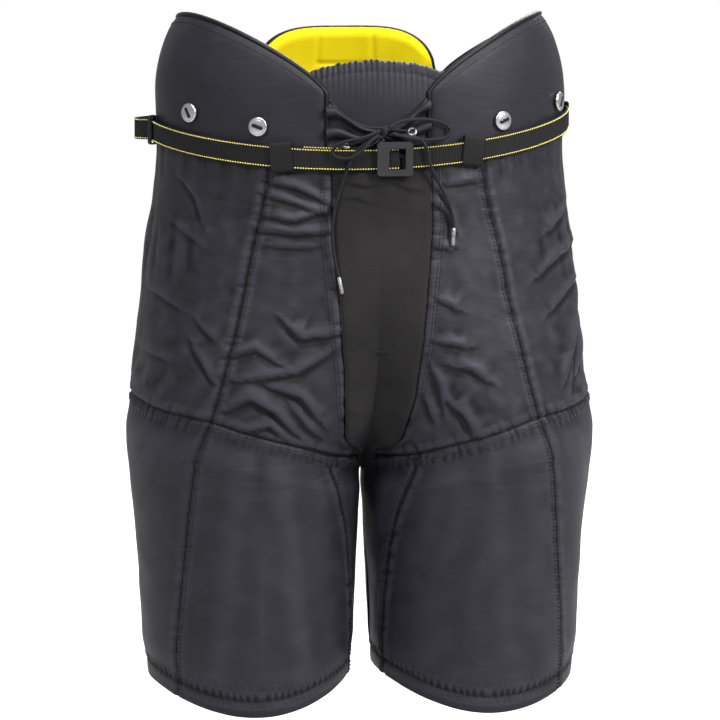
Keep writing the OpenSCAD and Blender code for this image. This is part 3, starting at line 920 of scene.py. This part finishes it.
class Half:
    """One half of the shell, after draping: a fine grid, and the surface at any (t, z)."""

    def __init__(self, side):
        self.side = side
        base = Grid(SHELL_COLS, SHELL_ROWS, lambda u, v: shell(*shell_place(u, v)))
        draped = drape(base, 1.0 if side == LEFT else 2.0)
        fine = draped.resampled(FINE_COLS, FINE_ROWS)
        self.grid = fine.moved(self.relief)
        for row in self.grid.p:
            for i in (0, FINE_COLS):
                if row[i].z > CROTCH_Z:
                    row[i].x = 0

    def relief(self, u, v):
        t, z = shell_place(u, v)
        return shell_relief(self.side, t, z, shell(t, z))

    def line(self, places, out):
        """Points a little off the shell at (t, z) places."""
        return self.grid.line([shell_uv(t, z) for t, z in places], out)


def hem_roll(grid):
    """Adds rows that turn the hem under and up inside."""
    turns = ((0.8, -1.2), (2.2, -1.6), (3.4, -0.4), (3.8, 5), (4.2, 16))
    extra = []
    for inset, rise in turns:
        row = []
        for i in range(grid.cols + 1):
            t, z = shell_place(i / grid.cols, 1)
            inward = shell(t, z, inset) - shell(t, z)
            row.append(grid.p[grid.rows][i] + inward + Vector((0, 0, rise)))
        extra.append(row)
    grid.p += extra
    grid.rows += len(extra)


HALF = {side: Half(side) for side in (LEFT, RIGHT)}


def bent(obj, side, slot, *nodes):
    """Bakes the piece's place into its mesh and hides the CAD nodes it stands for; it rides on no body."""
    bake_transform(obj)
    return placed(obj, None, slot, *nodes)


def both(names, side):
    """The CAD nodes of one side."""
    return [f"{name}_{SIDE_NAME[side]}" for name in names]


OUTER_NODES = ("front_panel", "side_panel", "seat_panel", "hip_plate", "hip_pad", "thigh_front_panel",
               "thigh_side_panel", "thigh_back_panel", "thigh_guard", "thigh_foam", "leg_hem")


def build_shell(side):
    """One half of the shell with its rows of stitches and a near-black line of painted shade down each
    seam.
    """
    half = HALF[side]
    around_leg = [mix(-58, 242, k / 240) for k in range(241)]
    around_hem = [mix(-89, 269, k / 300) for k in range(301)]

    def down(seam, top, low, gap=0.0):
        """Places down a seam, some millimetres beside it."""
        heights = [mix(top, low, k / 120) for k in range(121)]
        return [(seam(z) - math.degrees(gap / mean_radius(z)), z) for z in heights]

    rows = [
        down(seam, top, low, gap + more)
        for seam, top, low, gap in (
            (front_seam, -8, -486, 2.6), (side_seam, 10, -482, 2.6), (inner_seam, -286, -476, 2.6),
            (lambda z: fly_at(side, z) + 2.2, -14, -250, -3.4),
        )
        for more in (0, 2.6)
    ]
    rows += [[(t, thigh_seam(t) - gap) for t in around_leg] for gap in (3.0, 5.8)]
    rows.append([(t, hem(t) + HEM_BAND) for t in around_hem])
    # Paths down the seam grooves, where near-black beads paint the shade of each seam
    seams = [
        down(front_seam, -6, -488), down(side_seam, 12, -484), down(inner_seam, -284, -478),
        down(lambda z: fly_at(side, z) + 0.4, -10, -258), [(t, thigh_seam(t)) for t in around_leg],
    ]
    for name, lines, out, pitch, half_length, radius, material in (
        ("stitches", rows, 0.35, 3.6, 1.35, 0.42, THREAD),
        ("painted_seam_shade", seams, -0.25, 2.2, 1.6, 0.6, SEAM_SHADE),
    ):
        places = [place for line in lines for place in along(half.line(line, out), pitch)]
        name = f"shell_{name}_{SIDE_NAME[side]}"
        bent(beads(name, places, half_length, radius, material, side), side, "nylon")
    hem_roll(half.grid)
    cover = half.grid.build(f"shell_{SIDE_NAME[side]}", [NYLON], side)
    bent(cover, side, "nylon", *both(OUTER_NODES, side))


def lining_inset(t, z):
    above_hem = z - hem(t)
    return mix(4.2, 15, smooth((above_hem - 10) / 60)) if z < 0 else 15


def build_lining(side):
    """The smooth inner face of the shell, from the waist to just inside the hem."""

    def place(u, v):
        t, z = shell_place(u, mix(0.0, 0.975, v))
        above_tongue = max(shell_place(u, 0)[1] - TONGUE_BASE_Z + 5, 0)
        z -= above_tongue * smooth((TONGUE_EDGE_T + 14 - t) / 8) * (1 - v) ** 3
        p = shell(t, z, lining_inset(t, z))
        p.x = max(p.x, 0.4)
        return p

    grid = Grid(90, 80, place)
    faces = [tuple(reversed(f)) for f in grid.faces()]
    lining = new_object(f"lining_{SIDE_NAME[side]}", grid.points(), faces, [LINING], side, grid.flat())
    bent(lining, side, "lining", *both(("leg_liner", "waist_liner"), side))


FLY_CREASES = (
    (1.4, 5, (-34, -24), (-12, -28), (10, -25)), (1.3, 5, (6, -22), (28, -31), (42, -33)),
    (1.0, 5, (-38, -40), (-20, -38), (-6, -44)),
)


def build_fly():
    """The stretch panel down the middle of the front and under the crotch."""
    top_z, low_z = -6, -272

    def place(u, v):
        z = mix(top_z, low_z, v)
        share = abs(2 * u - 1)
        side = RIGHT if u > 0.5 else LEFT
        t = mix(turn(0, z), fly_at(side, z), share)
        p = shell(t, z, -0.9 + 1.6 * smooth((share - 0.9) / 0.1))
        x = side * p.x if share > 0 else 0.0
        run = Vector((x, p.y, z))
        hollow = 5 * bell(x, 26) * smooth((-205 - z) / 45)
        creases = 1.6 * bell(z + 232 + 0.08 * x, 4) + 1.4 * bell(z + 244 - 0.06 * x, 4)
        soft = 0.9 * rough(run, 4.2, 30) + 0.35 * rough(run, 8.2, 12)
        upper = 1.2 * math.sin(x / 3.4) * math.exp((z - top_z) / 16) + crease_height(x, z, FLY_CREASES)
        lift = (creases + soft + upper) * (1 - share ** 6) + 0.8
        return Vector((x, p.y - lift - hollow, z))

    grid = Grid(72, 190, place)
    fly = new_object("fly_panel_cloth", grid.points(), grid.faces(), [KNIT], RIGHT, grid.flat())
    placed(fly, "waist", "knit", "fly_panel")
    slit_at = grid.at(0.58, (top_z + 176) / (top_z - low_z))
    slit = [(slit_at + Vector((dx, -0.5, -0.1 * dx)), Vector((0.1, 0, 1))) for dx in range(-6, 7)]
    placed(beads("fly_bartack", slit, 1.5, 0.5, THREAD), "waist", "knit")


def build_gusset():
    """The knit saddle between the legs, joining the fly to the seat."""

    def crease(t):
        """The height at which the shell meets the middle plane."""
        low, high = CROTCH_Z, -120
        for _ in range(18):
            z = (low + high) / 2
            if shell(t, z).x > 0:
                low = z
            else:
                high = z
        return low

    def place(u, v):
        t = mix(-66, -114, u)
        drop = abs(2 * v - 1)
        z = mix(crease(t), crease(t) - 16, drop)
        p = shell(t, z, -1.0)
        side = RIGHT if v > 0.5 else LEFT
        return Vector((side * max(p.x, 0.0) if drop > 0 else 0.0, p.y, z - 1.2))

    placed(Grid(30, 16, place).build("gusset_cloth", [KNIT]), "waist", "knit", "crotch_gusset")


# ---------------------------------------------------------------- wings, facing, tongue, spine pad


def rounded(distance, reach):
    """0 at an edge and 1 from reach inwards, along a quarter circle."""
    f = min(max(distance / reach, 0), 1)
    return math.sqrt(1 - (1 - f) ** 2)


def level(p):
    return Vector((p.x, p.y, 0))


def ribbon(name, path, outward, width, depth, body):
    """A flattened bead of binding along an edge: outward(p) is the direction that it is wide in."""
    sides = 10
    points = []
    for k, p in enumerate(path):
        ahead = (path[min(k + 1, len(path) - 1)] - path[max(k - 1, 0)]).normalized()
        wide = outward(p).normalized()
        thick = ahead.cross(wide).normalized()
        for a in circle(sides):
            points.append(p + wide * width * math.cos(a) + thick * depth * math.sin(a))
    last = (len(path) - 1) * sides
    ends = [tuple(range(sides - 1, -1, -1)), tuple(range(last, last + sides))]
    placed(new_object(name, points, tube_faces(len(path), sides) + ends, [BINDING]), body, "nylon")


def build_wing(side):
    lo, hi = FACING_EDGE_T, WING_BACK_T
    seed = 5.5 if side == LEFT else 6.5

    def spot(u, v):
        t = mix(lo, hi, u)
        return t, mix(wing_top(t), waist_seam(t) - 1, v)

    def edge(t, z):
        ends = min(around(t - lo, z), around(hi - t, z))
        return min(rounded(ends, 12), rounded(wing_top(t) - z, 12))

    def face(inside):
        def place(u, v):
            t, z = spot(u, v)
            full = edge(t, z)
            p = shell(t, z)
            bulge = 2.2 * bell(z - 70, 40) * full
            soft = 1.0 * rough(p, seed, 40) + 0.35 * rough(p, seed + 3, 15)
            if inside:
                return shell(t, z, 3.0 + 13.5 * full - 0.5 * soft)
            return shell(t, z, 2.6 * (1 - full) - bulge - soft * full)
        return place

    cols, rows = 110, 44
    outer, inner = Grid(cols, rows, face(False)), Grid(cols, rows, face(True))
    wing = closed_pad(f"wing_{SIDE_NAME[side]}", outer, inner, [NYLON, LINING], side)
    placed(wing, "waist", "nylon", *both(("wing_cover", "wing_plate", "wing_foam", "wing_liner"), side))
    flip = Vector((side, 1, 1))
    rim = [outer.p[0][i].lerp(inner.p[0][i], 0.5) * flip for i in range(cols + 1)]
    rim = [outer.p[j][0] * flip for j in range(rows - 6, 0, -1)] + rim
    rim += [outer.p[j][cols] * flip for j in range(1, rows - 4)]
    ribbon(f"wing_binding_{SIDE_NAME[side]}", rim, level, 3.2, 2.0, "waist")
    places = []
    for k in range(121):
        t = mix(lo + 3, hi - 3, k / 120)
        places.append(((t - lo) / (hi - lo), 7 / (wing_top(t) - waist_seam(t) + 1)))
    path = along(outer.line(places, 0.2), 3.4)
    placed(beads(f"wing_stitches_{SIDE_NAME[side]}", path, 1.25, 0.4, THREAD, side), "waist", "nylon")


def build_facing():
    """The gathered cloth that the lace pulls together between the wings."""
    knot = (4, 16)

    def place(u, v):
        x = mix(-FACING_HALF_W, FACING_HALF_W, u)
        t = turn(abs(x), 0)
        top, low = facing_top(t), waist_seam(t) - 6
        z = mix(top, low, v)
        p = shell(t, z)
        dx, dz = x - knot[0], (z - knot[1]) * 1.3
        far = math.hypot(dx, dz)
        spoke = math.atan2(dz, abs(dx) + 4)
        folds = math.sin(spoke * 13 + 1.5 * math.sin(far / 9) + (2 if x < 0 else 0))
        folds = math.copysign(abs(folds) ** 0.6, folds)
        pressed = 1 - smooth((z - belt_mid(t) - 8) / 8)
        height = mix(4.4, 1.6, pressed) * folds * smooth(far / 14) * (0.7 + 0.3 * smooth((far - 12) / 20))
        edge = rounded(top - z, 5)
        centre = -3.0 * bell(x - knot[0], 5)
        soft = 0.8 * rough(Vector((x, 0, z)), 2.2, 9)
        out = (height + soft) * (0.4 + 0.6 * edge) + centre + 1.2
        return Vector((x, p.y - out + 2.4 * (1 - edge), z))

    grid = Grid(120, 56, place)
    back = Grid(120, 56, lambda u, v: grid.at(u, v) + Vector((0, 2.2, 0)))
    facing = closed_pad("lace_facing_cloth", grid, back, [NYLON, LINING])
    placed(facing, "waist", "nylon", "lace_facing_left", "lace_facing_right")
    rim = [p + Vector((0, 1.1, 0)) for p in grid.p[0]]
    ribbon("lace_facing_hem", rim, lambda p: Vector((0, -1, 0)), 1.9, 1.5, "waist")
    return grid


def tongue_face(inside):
    def place(u, v):
        x_share = 2 * u - 1
        t = TONGUE_EDGE_T * x_share
        ruffle = 1.6 * wave(t * 3, 2.5, 3.1) + 1.0 * wave(t * 3, 5.5, 1.5)
        top = tongue_top(t) + ruffle * 0.8
        z = mix(top, TONGUE_BASE_Z, v)
        z_shell = min(z, 0)
        a = half_w(z) - 4
        edge_t = min(rounded((1 - abs(x_share)) * 66, 9), rounded(top - z, 10))
        pleat = math.sin(t * 3.9 + 1.2 * wave(t * 4, 1.5, 4)) * math.exp(-(top - z) / 12) * 1.1
        fine = 0.25 * math.sin(t * 12) * bell(top - z - 14, 16)
        y_mid = mid_y(z_shell) - (half_d(z) - 9.5) * math.cos(math.radians(t))
        half = 1.2 + 4.6 * edge_t + 0.6 * bell(top - z - 30, 20)
        groove = -0.9 * bell(top - z - 9, 1.6)
        offset = half + groove + (pleat + fine + ruffle * 0.3 * math.exp(-(top - z) / 6))
        y = y_mid + half - 1.0 if inside else y_mid - offset
        return Vector((a * math.sin(math.radians(t)), y, z))
    return place


def build_tongue():
    cols, rows = 150, 66
    outer, inner = Grid(cols, rows, tongue_face(False)), Grid(cols, rows, tongue_face(True))
    tongue = closed_pad("tongue_pad", outer, inner, [NYLON, LINING])
    placed(tongue, "tongue", "nylon", "tongue_cover", "tongue_foam")
    below = 9 / (TONGUE_RISE - TONGUE_BASE_Z)
    path = outer.line([(mix(0.03, 0.97, k / 100), below) for k in range(101)], 0.25)
    placed(beads("tongue_stitches", along(path, 3.2), 1.2, 0.4, THREAD), "tongue", "nylon")


def build_spine_pad():
    """The floating pad at the middle of the back: yellow inside, black outside, black edge."""
    cols, rows = 90, 52

    def face(inside):
        def place(u, v):
            t = mix(SPINE_EDGE_T, -SPINE_EDGE_T, u)
            z = mix(spine_top(t), SPINE_BASE_Z, v)
            full = min(rounded((SPINE_EDGE_T - abs(t)) * 3.1, 11), rounded(spine_top(t) - z, 11))
            channel = bell(abs(t) - 9, 0.9) + bell(z - 72, 2.2) * (abs(t) < 9)
            soft = 0.7 * rough(Vector((t * 3, 0, z)), 9.1, 24)
            if inside:
                inset = 7 + 9.5 * full + soft - 1.2 * channel * full
            else:
                inset = 5.5 * (1 - full) - 0.8 + 0.8 * channel * full
            return shell(180 - t, z, inset)
        return place

    inner, outer = Grid(cols, rows, face(True)), Grid(cols, rows, face(False))
    pad = closed_pad("spine_pad_body", outer, inner, [NYLON, YELLOW], RIGHT)
    placed(pad, "spine_pad", "yellow_lining",
           "spine_pad_cover", "spine_pad_plate", "spine_pad_foam", "spine_pad_liner")
    pairs = [(outer.p[j][0], inner.p[j][0]) for j in range(rows, 0, -1)]
    pairs += zip(outer.p[0], inner.p[0])
    pairs += [(outer.p[j][cols], inner.p[j][cols]) for j in range(1, rows + 1)]
    ribbon("spine_pad_binding", [a.lerp(b, 0.5) for a, b in pairs], level, 3.0, 1.1, "spine_pad")


def build_back_waistband():
    """The low padded band below the spine pad."""

    def face(inside):
        def place(u, v):
            t = mix(SPINE_EDGE_T + 1, -SPINE_EDGE_T - 1, u)
            z = mix(SPINE_BASE_Z - 3, waist_seam(180) - 3, v)
            full = rounded(SPINE_BASE_Z - 3 - z, 5)
            return shell(180 - t, z, 7 + 8 * full if inside else 6 * (1 - full))
        return Grid(80, 16, place)

    band = closed_pad("back_waistband_pad", face(False), face(True), [NYLON, LINING])
    placed(band, "waist", "nylon", "back_waistband", "tailbone_pad")


# ---------------------------------------------------------------- belt, loops, buckle, buttons


def waist_point(t, z, inset):
    if t > 360:
        t -= 360
    if t <= 180:
        return shell(t, z, inset)
    p = shell(360 - t, z, inset)
    return Vector((-p.x, p.y, p.z))


def belt_mid(t):
    near = t if t <= 180 else abs(360 - t)
    return waist_seam(near) + BELT_TILT * math.sin(math.radians(t))


def slack(t):
    """How far the belt stands off beside the buckle, where it is not pulled tight."""
    if not SLACK_FROM_T < t < SLACK_TO_T:
        return 0.0
    return BELT_SLACK * math.sin(math.pi * math.sqrt((SLACK_TO_T - t) / (SLACK_TO_T - SLACK_FROM_T)))


def strap_point(t, across, out, lift=0.0, inset=BELT_INSET):
    """A point of the belt: across from -1 at its lower edge to 1 at its upper edge."""
    z = belt_mid(t) + lift + across * BELT_W / 2
    return waist_point(t, z, inset - out - slack(t))


def ribbed_strap(name, t0, t1, lift, inset, node):
    """Webbing with fine cross ribs, closed all round, and rows of yellow edge thread on its face."""
    mean_waist_radius, rib_pitch = 155, 2.6
    cols = int(abs(math.radians(t1 - t0)) * mean_waist_radius / rib_pitch * 4)

    def face(outside):
        def place(u, v):
            across = 1 - 2 * v
            rib = 0.24 * math.sin(2 * math.pi * u * cols / 4)
            edge = 0.25 * bell(1 - abs(across), 0.12)
            thick = BELT_T + rib - edge if outside else -0.5 * rib
            return strap_point(mix(t0, t1, u), across, thick, lift, inset)
        return Grid(cols, 8, place)

    strap = closed_pad(name, face(True), face(False), [WEBBING, WEBBING])
    placed(strap, "waist", "webbing", node)
    places = []
    for across in (0.86, -0.86):
        path = [strap_point(mix(t0, t1, k / 400), across, BELT_T + 0.15, lift, inset) for k in range(401)]
        places += along(path, 2.4)
    placed(beads(f"{name}_thread", places, 0.8, 0.62, YELLOW_THREAD), "waist", "webbing")


def build_belt():
    ribbed_strap("belt_webbing", turn(25, 0), 360 + turn(17, 0), 0, BELT_INSET, "waist_belt")
    ribbed_strap("belt_tail_webbing", 360 - turn(66, 0), 360 - turn(36, 0), 2, -1, "belt_tail")


def build_belt_loops():
    """Ribbed loops of webbing that hold the belt to the waist."""
    reach, wall, height, standoff, corner = 7.8, 1.0, BELT_W + 7, 1.8, 2.2
    high, out, back = height / 2 - corner, reach - corner, standoff + corner
    outline = []
    for cx, cz, start in ((high, out, 0), (-high, out, 90), (-high, back, 180), (high, back, 270)):
        for k in range(5):
            a = math.radians(start + 22.5 * k)
            outline.append((cx, cz, math.cos(a), math.sin(a)))
    n, cols, step = len(outline), 24, 2
    layer = (cols + 1) * n
    wrap = tube_faces(cols + 1, n) + [tuple(reversed(f)) for f in tube_faces(cols + 1, n, layer)]
    ends = []
    for base in (0, cols * n):
        for k in range(n):
            a, b = base + k, base + (k + 1) % n
            ends.append((a, a + layer, b + layer, b))
    parts = Parts()
    for side in (LEFT, RIGHT):
        for t in LOOP_ANGLES[side]:
            near, here, far = (belt_mid(a if side == RIGHT else 360 - a) for a in (t - step, t, t + step))
            run = (shell(t + step, 0) - shell(t - step, 0)).length
            frame_at = on_shell(t, here) @ Matrix.Rotation(-math.atan((far - near) / run), 4, "Z")
            points = []
            for outside in (True, False):
                for i in range(cols + 1):
                    across = mix(-LOOP_W / 2, LOOP_W / 2, i / cols)
                    rib = 0.34 * math.sin(i * math.pi * 0.75)
                    r = corner + rib if outside else corner - wall
                    for cx, cz, dx, dz in outline:
                        p = frame_at @ Vector((cx + dx * r, across, cz + dz * r))
                        points.append(Vector((side * p.x, p.y, p.z)))
            parts.add(points, (wrap if side == LEFT else [tuple(reversed(f)) for f in wrap]) + ends)
    placed(parts.build("belt_loop_webbing", WEBBING), "waist", "webbing", "belt_loops")


def build_buckle():
    """The buckle's CAD form with rounded edges."""
    buckle = bpy.data.objects.new("buckle_slider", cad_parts["belt_buckle"].data.copy())
    bpy.context.scene.collection.objects.link(buckle)
    buckle.data.materials.clear()
    buckle.data.materials.append(BUCKLE_PLASTIC)
    weld = buckle.modifiers.new("weld", "WELD")
    weld.merge_threshold = 0.02 * MM
    bevel = buckle.modifiers.new("round", "BEVEL")
    bevel.width = 0.7 * MM
    bevel.segments = 3
    bevel.limit_method = "ANGLE"
    bevel.angle_limit = math.radians(35)
    flat_shaded(applied(buckle))
    placed(buckle, "buckle", "buckle_plastic", "belt_buckle")


def build_buttons(side):
    """Domed metal caps on short shanks, each with a plain black bar let into the cap."""
    r, h = BUTTON_R, BUTTON_STANDOFF
    cap = lathe([
        (3.4, -1.5), (3.2, h), (r - 1, h), (r - 0.2, h + 0.3), (r, h + 0.9), (r, h + 1.9),
        (r - 0.4, h + 2.5), (r - 1.2, h + 2.9), (r - 1.7, h + 2.75), (r - 2.2, h + 2.9), (5, h + 3.2),
        (3, h + 3.35), (1, h + 3.4), (0.01, h + 3.4),
    ])
    ring = [(math.copysign(3.6, math.cos(a)) + 1.7 * math.cos(a), 1.7 * math.sin(a)) for a in circle(24)]
    bar = [Vector((y, x, height)) for height in (h + 2.7, h + 3.62) for x, y in ring]
    bar_faces = tube_faces(2, 24) + [tuple(range(24, 48)), tuple(range(23, -1, -1))]
    caps, bars = Parts(), Parts()
    for (t, z), spin in zip(BUTTON_PLACES[side], (20, 62, 40)):
        place = on_shell(t, z)
        caps.add([place @ p for p in cap[0]], cap[1])
        spun = Matrix.Rotation(math.radians(spin), 4, "Z")
        bars.add([place @ (spun @ p) for p in bar], bar_faces)
    name = SIDE_NAME[side]
    domes = caps.build(f"button_caps_{name}", STEEL, side)
    placed(domes, "waist", "button_metal", f"suspender_buttons_{name}")
    badges = bars.build(f"button_bars_{name}", BADGE, side)
    flat_shaded(badges)
    placed(badges, "waist", "button_metal")


# ---------------------------------------------------------------- lace

KNOT_AT = (4, -126.5, 20)
LOOP_LEFT = [
    (0, -127, 20), (-8, -128, 17), (-17, -129, 14), (-27, -128, 12), (-36, -127, 9), (-42, -126, 4),
    (-41, -126, -1), (-34, -128, -4), (-26, -130, -3), (-17, -131, 3), (-9, -130, 11), (-1, -128, 17),
]
LOOP_RIGHT = [
    (9, -127, 23), (18, -126, 28), (30, -125, 30), (42, -122, 30), (53, -119, 28), (61, -117, 24),
    (64, -116, 20), (62, -118, 15), (54, -121, 12.5), (44, -124, 12), (33, -127, 13), (22, -128, 15),
    (11, -128, 18),
]
END_LEFT = [
    (0, -126, 17), (-9, -126, 12), (-17, -127, 6), (-23, -127, 0), (-26, -127, -6), (-29, -127, -13),
    (-31, -125, -19), (-34, -124, -28), (-37, -124, -38), (-40, -124, -50), (-42, -125, -64),
    (-42, -126, -76), (-41, -127, -88), (-39, -128, -99), (-37, -129, -108),
]
END_RIGHT = [
    (9, -126, 17), (18, -126, 16), (27, -126, 15), (36, -126, 12.5), (42, -126.5, 4), (44, -126.5, -7),
    (48, -125, -17), (53, -122, -26), (58, -120, -35), (63, -119, -46), (66, -119, -56), (67, -120, -66),
]
TIP_LEFT = (-34, -130, -123)
TIP_RIGHT = (66, -121, -82)
CROSSING = [
    (-29, -121, 7), (-22, -122, 9), (-14, -123, 12), (-6, -124, 15), (1, -125, 18), (8, -125, 21),
    (15, -124, 21), (22, -122, 20), (28, -121, 19),
]


def lace_run(name, route, nodes):
    """One run of lace as a smooth curve through its route."""
    data = bpy.data.curves.new(name, "CURVE")
    data.dimensions = "3D"
    data.bevel_depth = LACE_D / 2 * MM
    data.bevel_resolution = 3
    data.use_fill_caps = True
    spline = data.splines.new("BEZIER")
    spline.bezier_points.add(len(route) - 1)
    points = [Vector(p) * MM for p in route]
    for k, (knot, p) in enumerate(zip(spline.bezier_points, points)):
        ahead = points[min(k + 1, len(points) - 1)] - points[max(k - 1, 0)]
        handle = ahead / 6 if 0 < k < len(points) - 1 else ahead / 3
        knot.co = p
        knot.handle_left = p - handle
        knot.handle_right = p + handle
    data.materials.append(LACE)
    obj = bpy.data.objects.new(name, data)
    bpy.context.scene.collection.objects.link(obj)
    placed(obj, "waist", "lace", *nodes)


def build_lace():
    for side, route, end in ((LEFT, END_LEFT, TIP_LEFT), (RIGHT, END_RIGHT, TIP_RIGHT)):
        start = Vector(route[-1])
        run = Vector(end) - start
        long = run.length
        profile = [(0.05, 0), (1.35, 0.2), (1.7, 0.8), (1.65, long - 1.5), (1.3, long - 0.4), (0.05, long)]
        points, faces = lathe(profile, 16)
        place = aimed(run, start)
        tip = new_object(f"lace_tip_{SIDE_NAME[side]}", [place @ p for p in points], faces, [TIP])
        placed(tip, "waist", "lace_tip")
    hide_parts("lace_tips")
    lace_run("lace_left_end", END_LEFT, ["lace_end_left"])
    lace_run("lace_right_end", END_RIGHT, ["lace_end_right"])
    lace_run("lace_left_loop", LOOP_LEFT, ["lace_loops"])
    lace_run("lace_right_loop", LOOP_RIGHT, [])
    lace_run("lace_across", CROSSING, ["lace_crossing"])
    build_knot()


def build_knot():
    """A bow knot: a wrap of lace over two crossed strands, as three short thick bands."""
    parts = Parts()
    rings, sides, strand = 28, 10, 1.6
    for tilt, squeeze, radius in ((12, 0.62, 5.2), (-28, 0.5, 4.6), (75, 0.45, 4.0)):
        turned = Matrix.Rotation(math.radians(tilt), 3, "Y")
        points = []
        for a in circle(rings):
            for b in circle(sides):
                r = radius * 0.62 + strand * math.cos(b)
                p = Vector((1.7 * math.sin(b), r * math.cos(a), r * math.sin(a) * squeeze * 1.6))
                points.append(Vector(KNOT_AT) + turned @ p)
        parts.add(points, tube_faces(rings, sides, loop=True))
    placed(parts.build("lace_bow_knot", LACE), "waist", "lace", "lace_knot")


def build_eyelets(facing):
    """Rings of metal round the two holes that the lace comes out of."""
    ring, faces = lathe([
        (2.4, -0.8), (2.5, 0.6), (2.9, 1.15), (3.5, 1.3), (4.2, 1.1), (4.7, 0.5), (4.8, -0.2),
    ], 32)
    t = turn(EYELET_X, 0)
    top, low = facing_top(t), waist_seam(t) - 6
    parts = Parts()
    for side in (LEFT, RIGHT):
        u = (side * EYELET_X + FACING_HALF_W) / (2 * FACING_HALF_W)
        v = (top - (13 + side * 6)) / (top - low)
        place = aimed(facing.normal(u, v), facing.at(u, v) + Vector((0, -0.3, 0)))
        parts.add([place @ p for p in ring], faces)
    placed(parts.build("eyelet_rings", DARK_NICKEL), "waist", "button_metal", "lace_eyelets")


# ---------------------------------------------------------------- stage, light and camera


def area_light(name, place, aim, size, power):
    data = bpy.data.lights.new(name, "AREA")
    data.shape = "RECTANGLE"
    data.size, data.size_y = size
    data.energy = power
    light = bpy.data.objects.new(name, data)
    light.location = place
    light.rotation_euler = (Vector(aim) - Vector(place)).to_track_quat("-Z", "Y").to_euler()
    bpy.context.scene.collection.objects.link(light)


def seen_directly(nodes):
    """1 where the camera looks straight at the surface, and 0 for the light that it throws."""
    return made(nodes, "LightPath").outputs["Is Camera Ray"]


def build_stage():
    """A round pale floor just below the hems."""
    floor_z, radius, rings, spokes = -560, 4200, 12, 48
    points = [Vector((0, 0, floor_z))]
    for ring in range(1, rings + 1):
        r = radius * ring / rings
        points += [Vector((r * math.cos(a), r * math.sin(a), floor_z)) for a in circle(spokes)]
    faces = [(0, 1 + k, 1 + (k + 1) % spokes) for k in range(spokes)]
    faces += [tuple(reversed(f)) for f in tube_faces(rings, spokes, 1)]
    material, nodes, links, shader = node_tree("pale_floor")
    tinted(nodes, links, shader, (0.50, 0.50, 0.50), (0.54, 0.54, 0.54), 0.6)
    glow = made(nodes, "Math")
    glow.operation = "MULTIPLY"
    glow.inputs[1].default_value = 0.80
    links.new(seen_directly(nodes), glow.inputs[0])
    links.new(glow.outputs["Value"], shader.inputs["Emission Strength"])
    set_inputs(shader, Roughness=0.95, Specular_IOR_Level=0.0, Emission_Color=(1, 1, 1, 1))
    new_object("studio_floor", points, faces, [material])


def build_light():
    """A white room that lights the pants only softly, and four lamps round them."""
    world = bpy.data.worlds.new("studio")
    world.use_nodes = True
    nodes, links = world.node_tree.nodes, world.node_tree.links
    room = nodes["Background"]
    set_inputs(room, Color=(1, 1, 1, 1), Strength=0.36)
    white = made(nodes, "Background", Color=(1, 1, 1, 1), Strength=1.0)
    either = made(nodes, "MixShader")
    for k, output in enumerate((seen_directly(nodes), room.outputs[0], white.outputs[0])):
        links.new(output, either.inputs[k])
    links.new(either.outputs[0], nodes["World Output"].inputs["Surface"])
    bpy.context.scene.world = world
    bpy.context.scene.view_settings.view_transform = "Standard"
    area_light("key", (-1.5, -2.3, 2.2), (0, 0, -0.05), (0.9, 1.1), 54)
    area_light("fill", (2.1, -2.0, 1.7), (0, 0, -0.1), (0.8, 1.4), 112)
    area_light("top", (0.2, -0.5, 2.3), (0, 0, -0.2), (1.4, 0.9), 46)
    area_light("rear", (0.9, 2.5, 1.8), (0, 0, -0.15), (1.6, 1.2), 60)


def build_camera():
    azimuth, elevation, distance = math.radians(-8), math.radians(5), 5.0
    aim = Vector((0.0, 0, -0.193))
    flat = math.cos(elevation)
    direction = Vector((math.sin(azimuth) * flat, -math.cos(azimuth) * flat, math.sin(elevation)))
    data = bpy.data.cameras.new("camera")
    data.sensor_width = 36
    data.lens = 276
    camera = bpy.data.objects.new("camera", data)
    camera.location = aim + direction * distance
    camera.rotation_euler = (-direction).to_track_quat("-Z", "Y").to_euler()
    bpy.context.scene.collection.objects.link(camera)
    bpy.context.scene.camera = camera


# ---------------------------------------------------------------- everything

build_camera()
build_lace()
build_stage()
build_light()
for side in (LEFT, RIGHT):
    build_shell(side)
    build_lining(side)
    build_wing(side)
    build_buttons(side)
build_fly()
build_gusset()
build_tongue()
build_spine_pad()
build_back_waistband()
build_eyelets(build_facing())
build_belt()
build_belt_loops()
build_buckle()
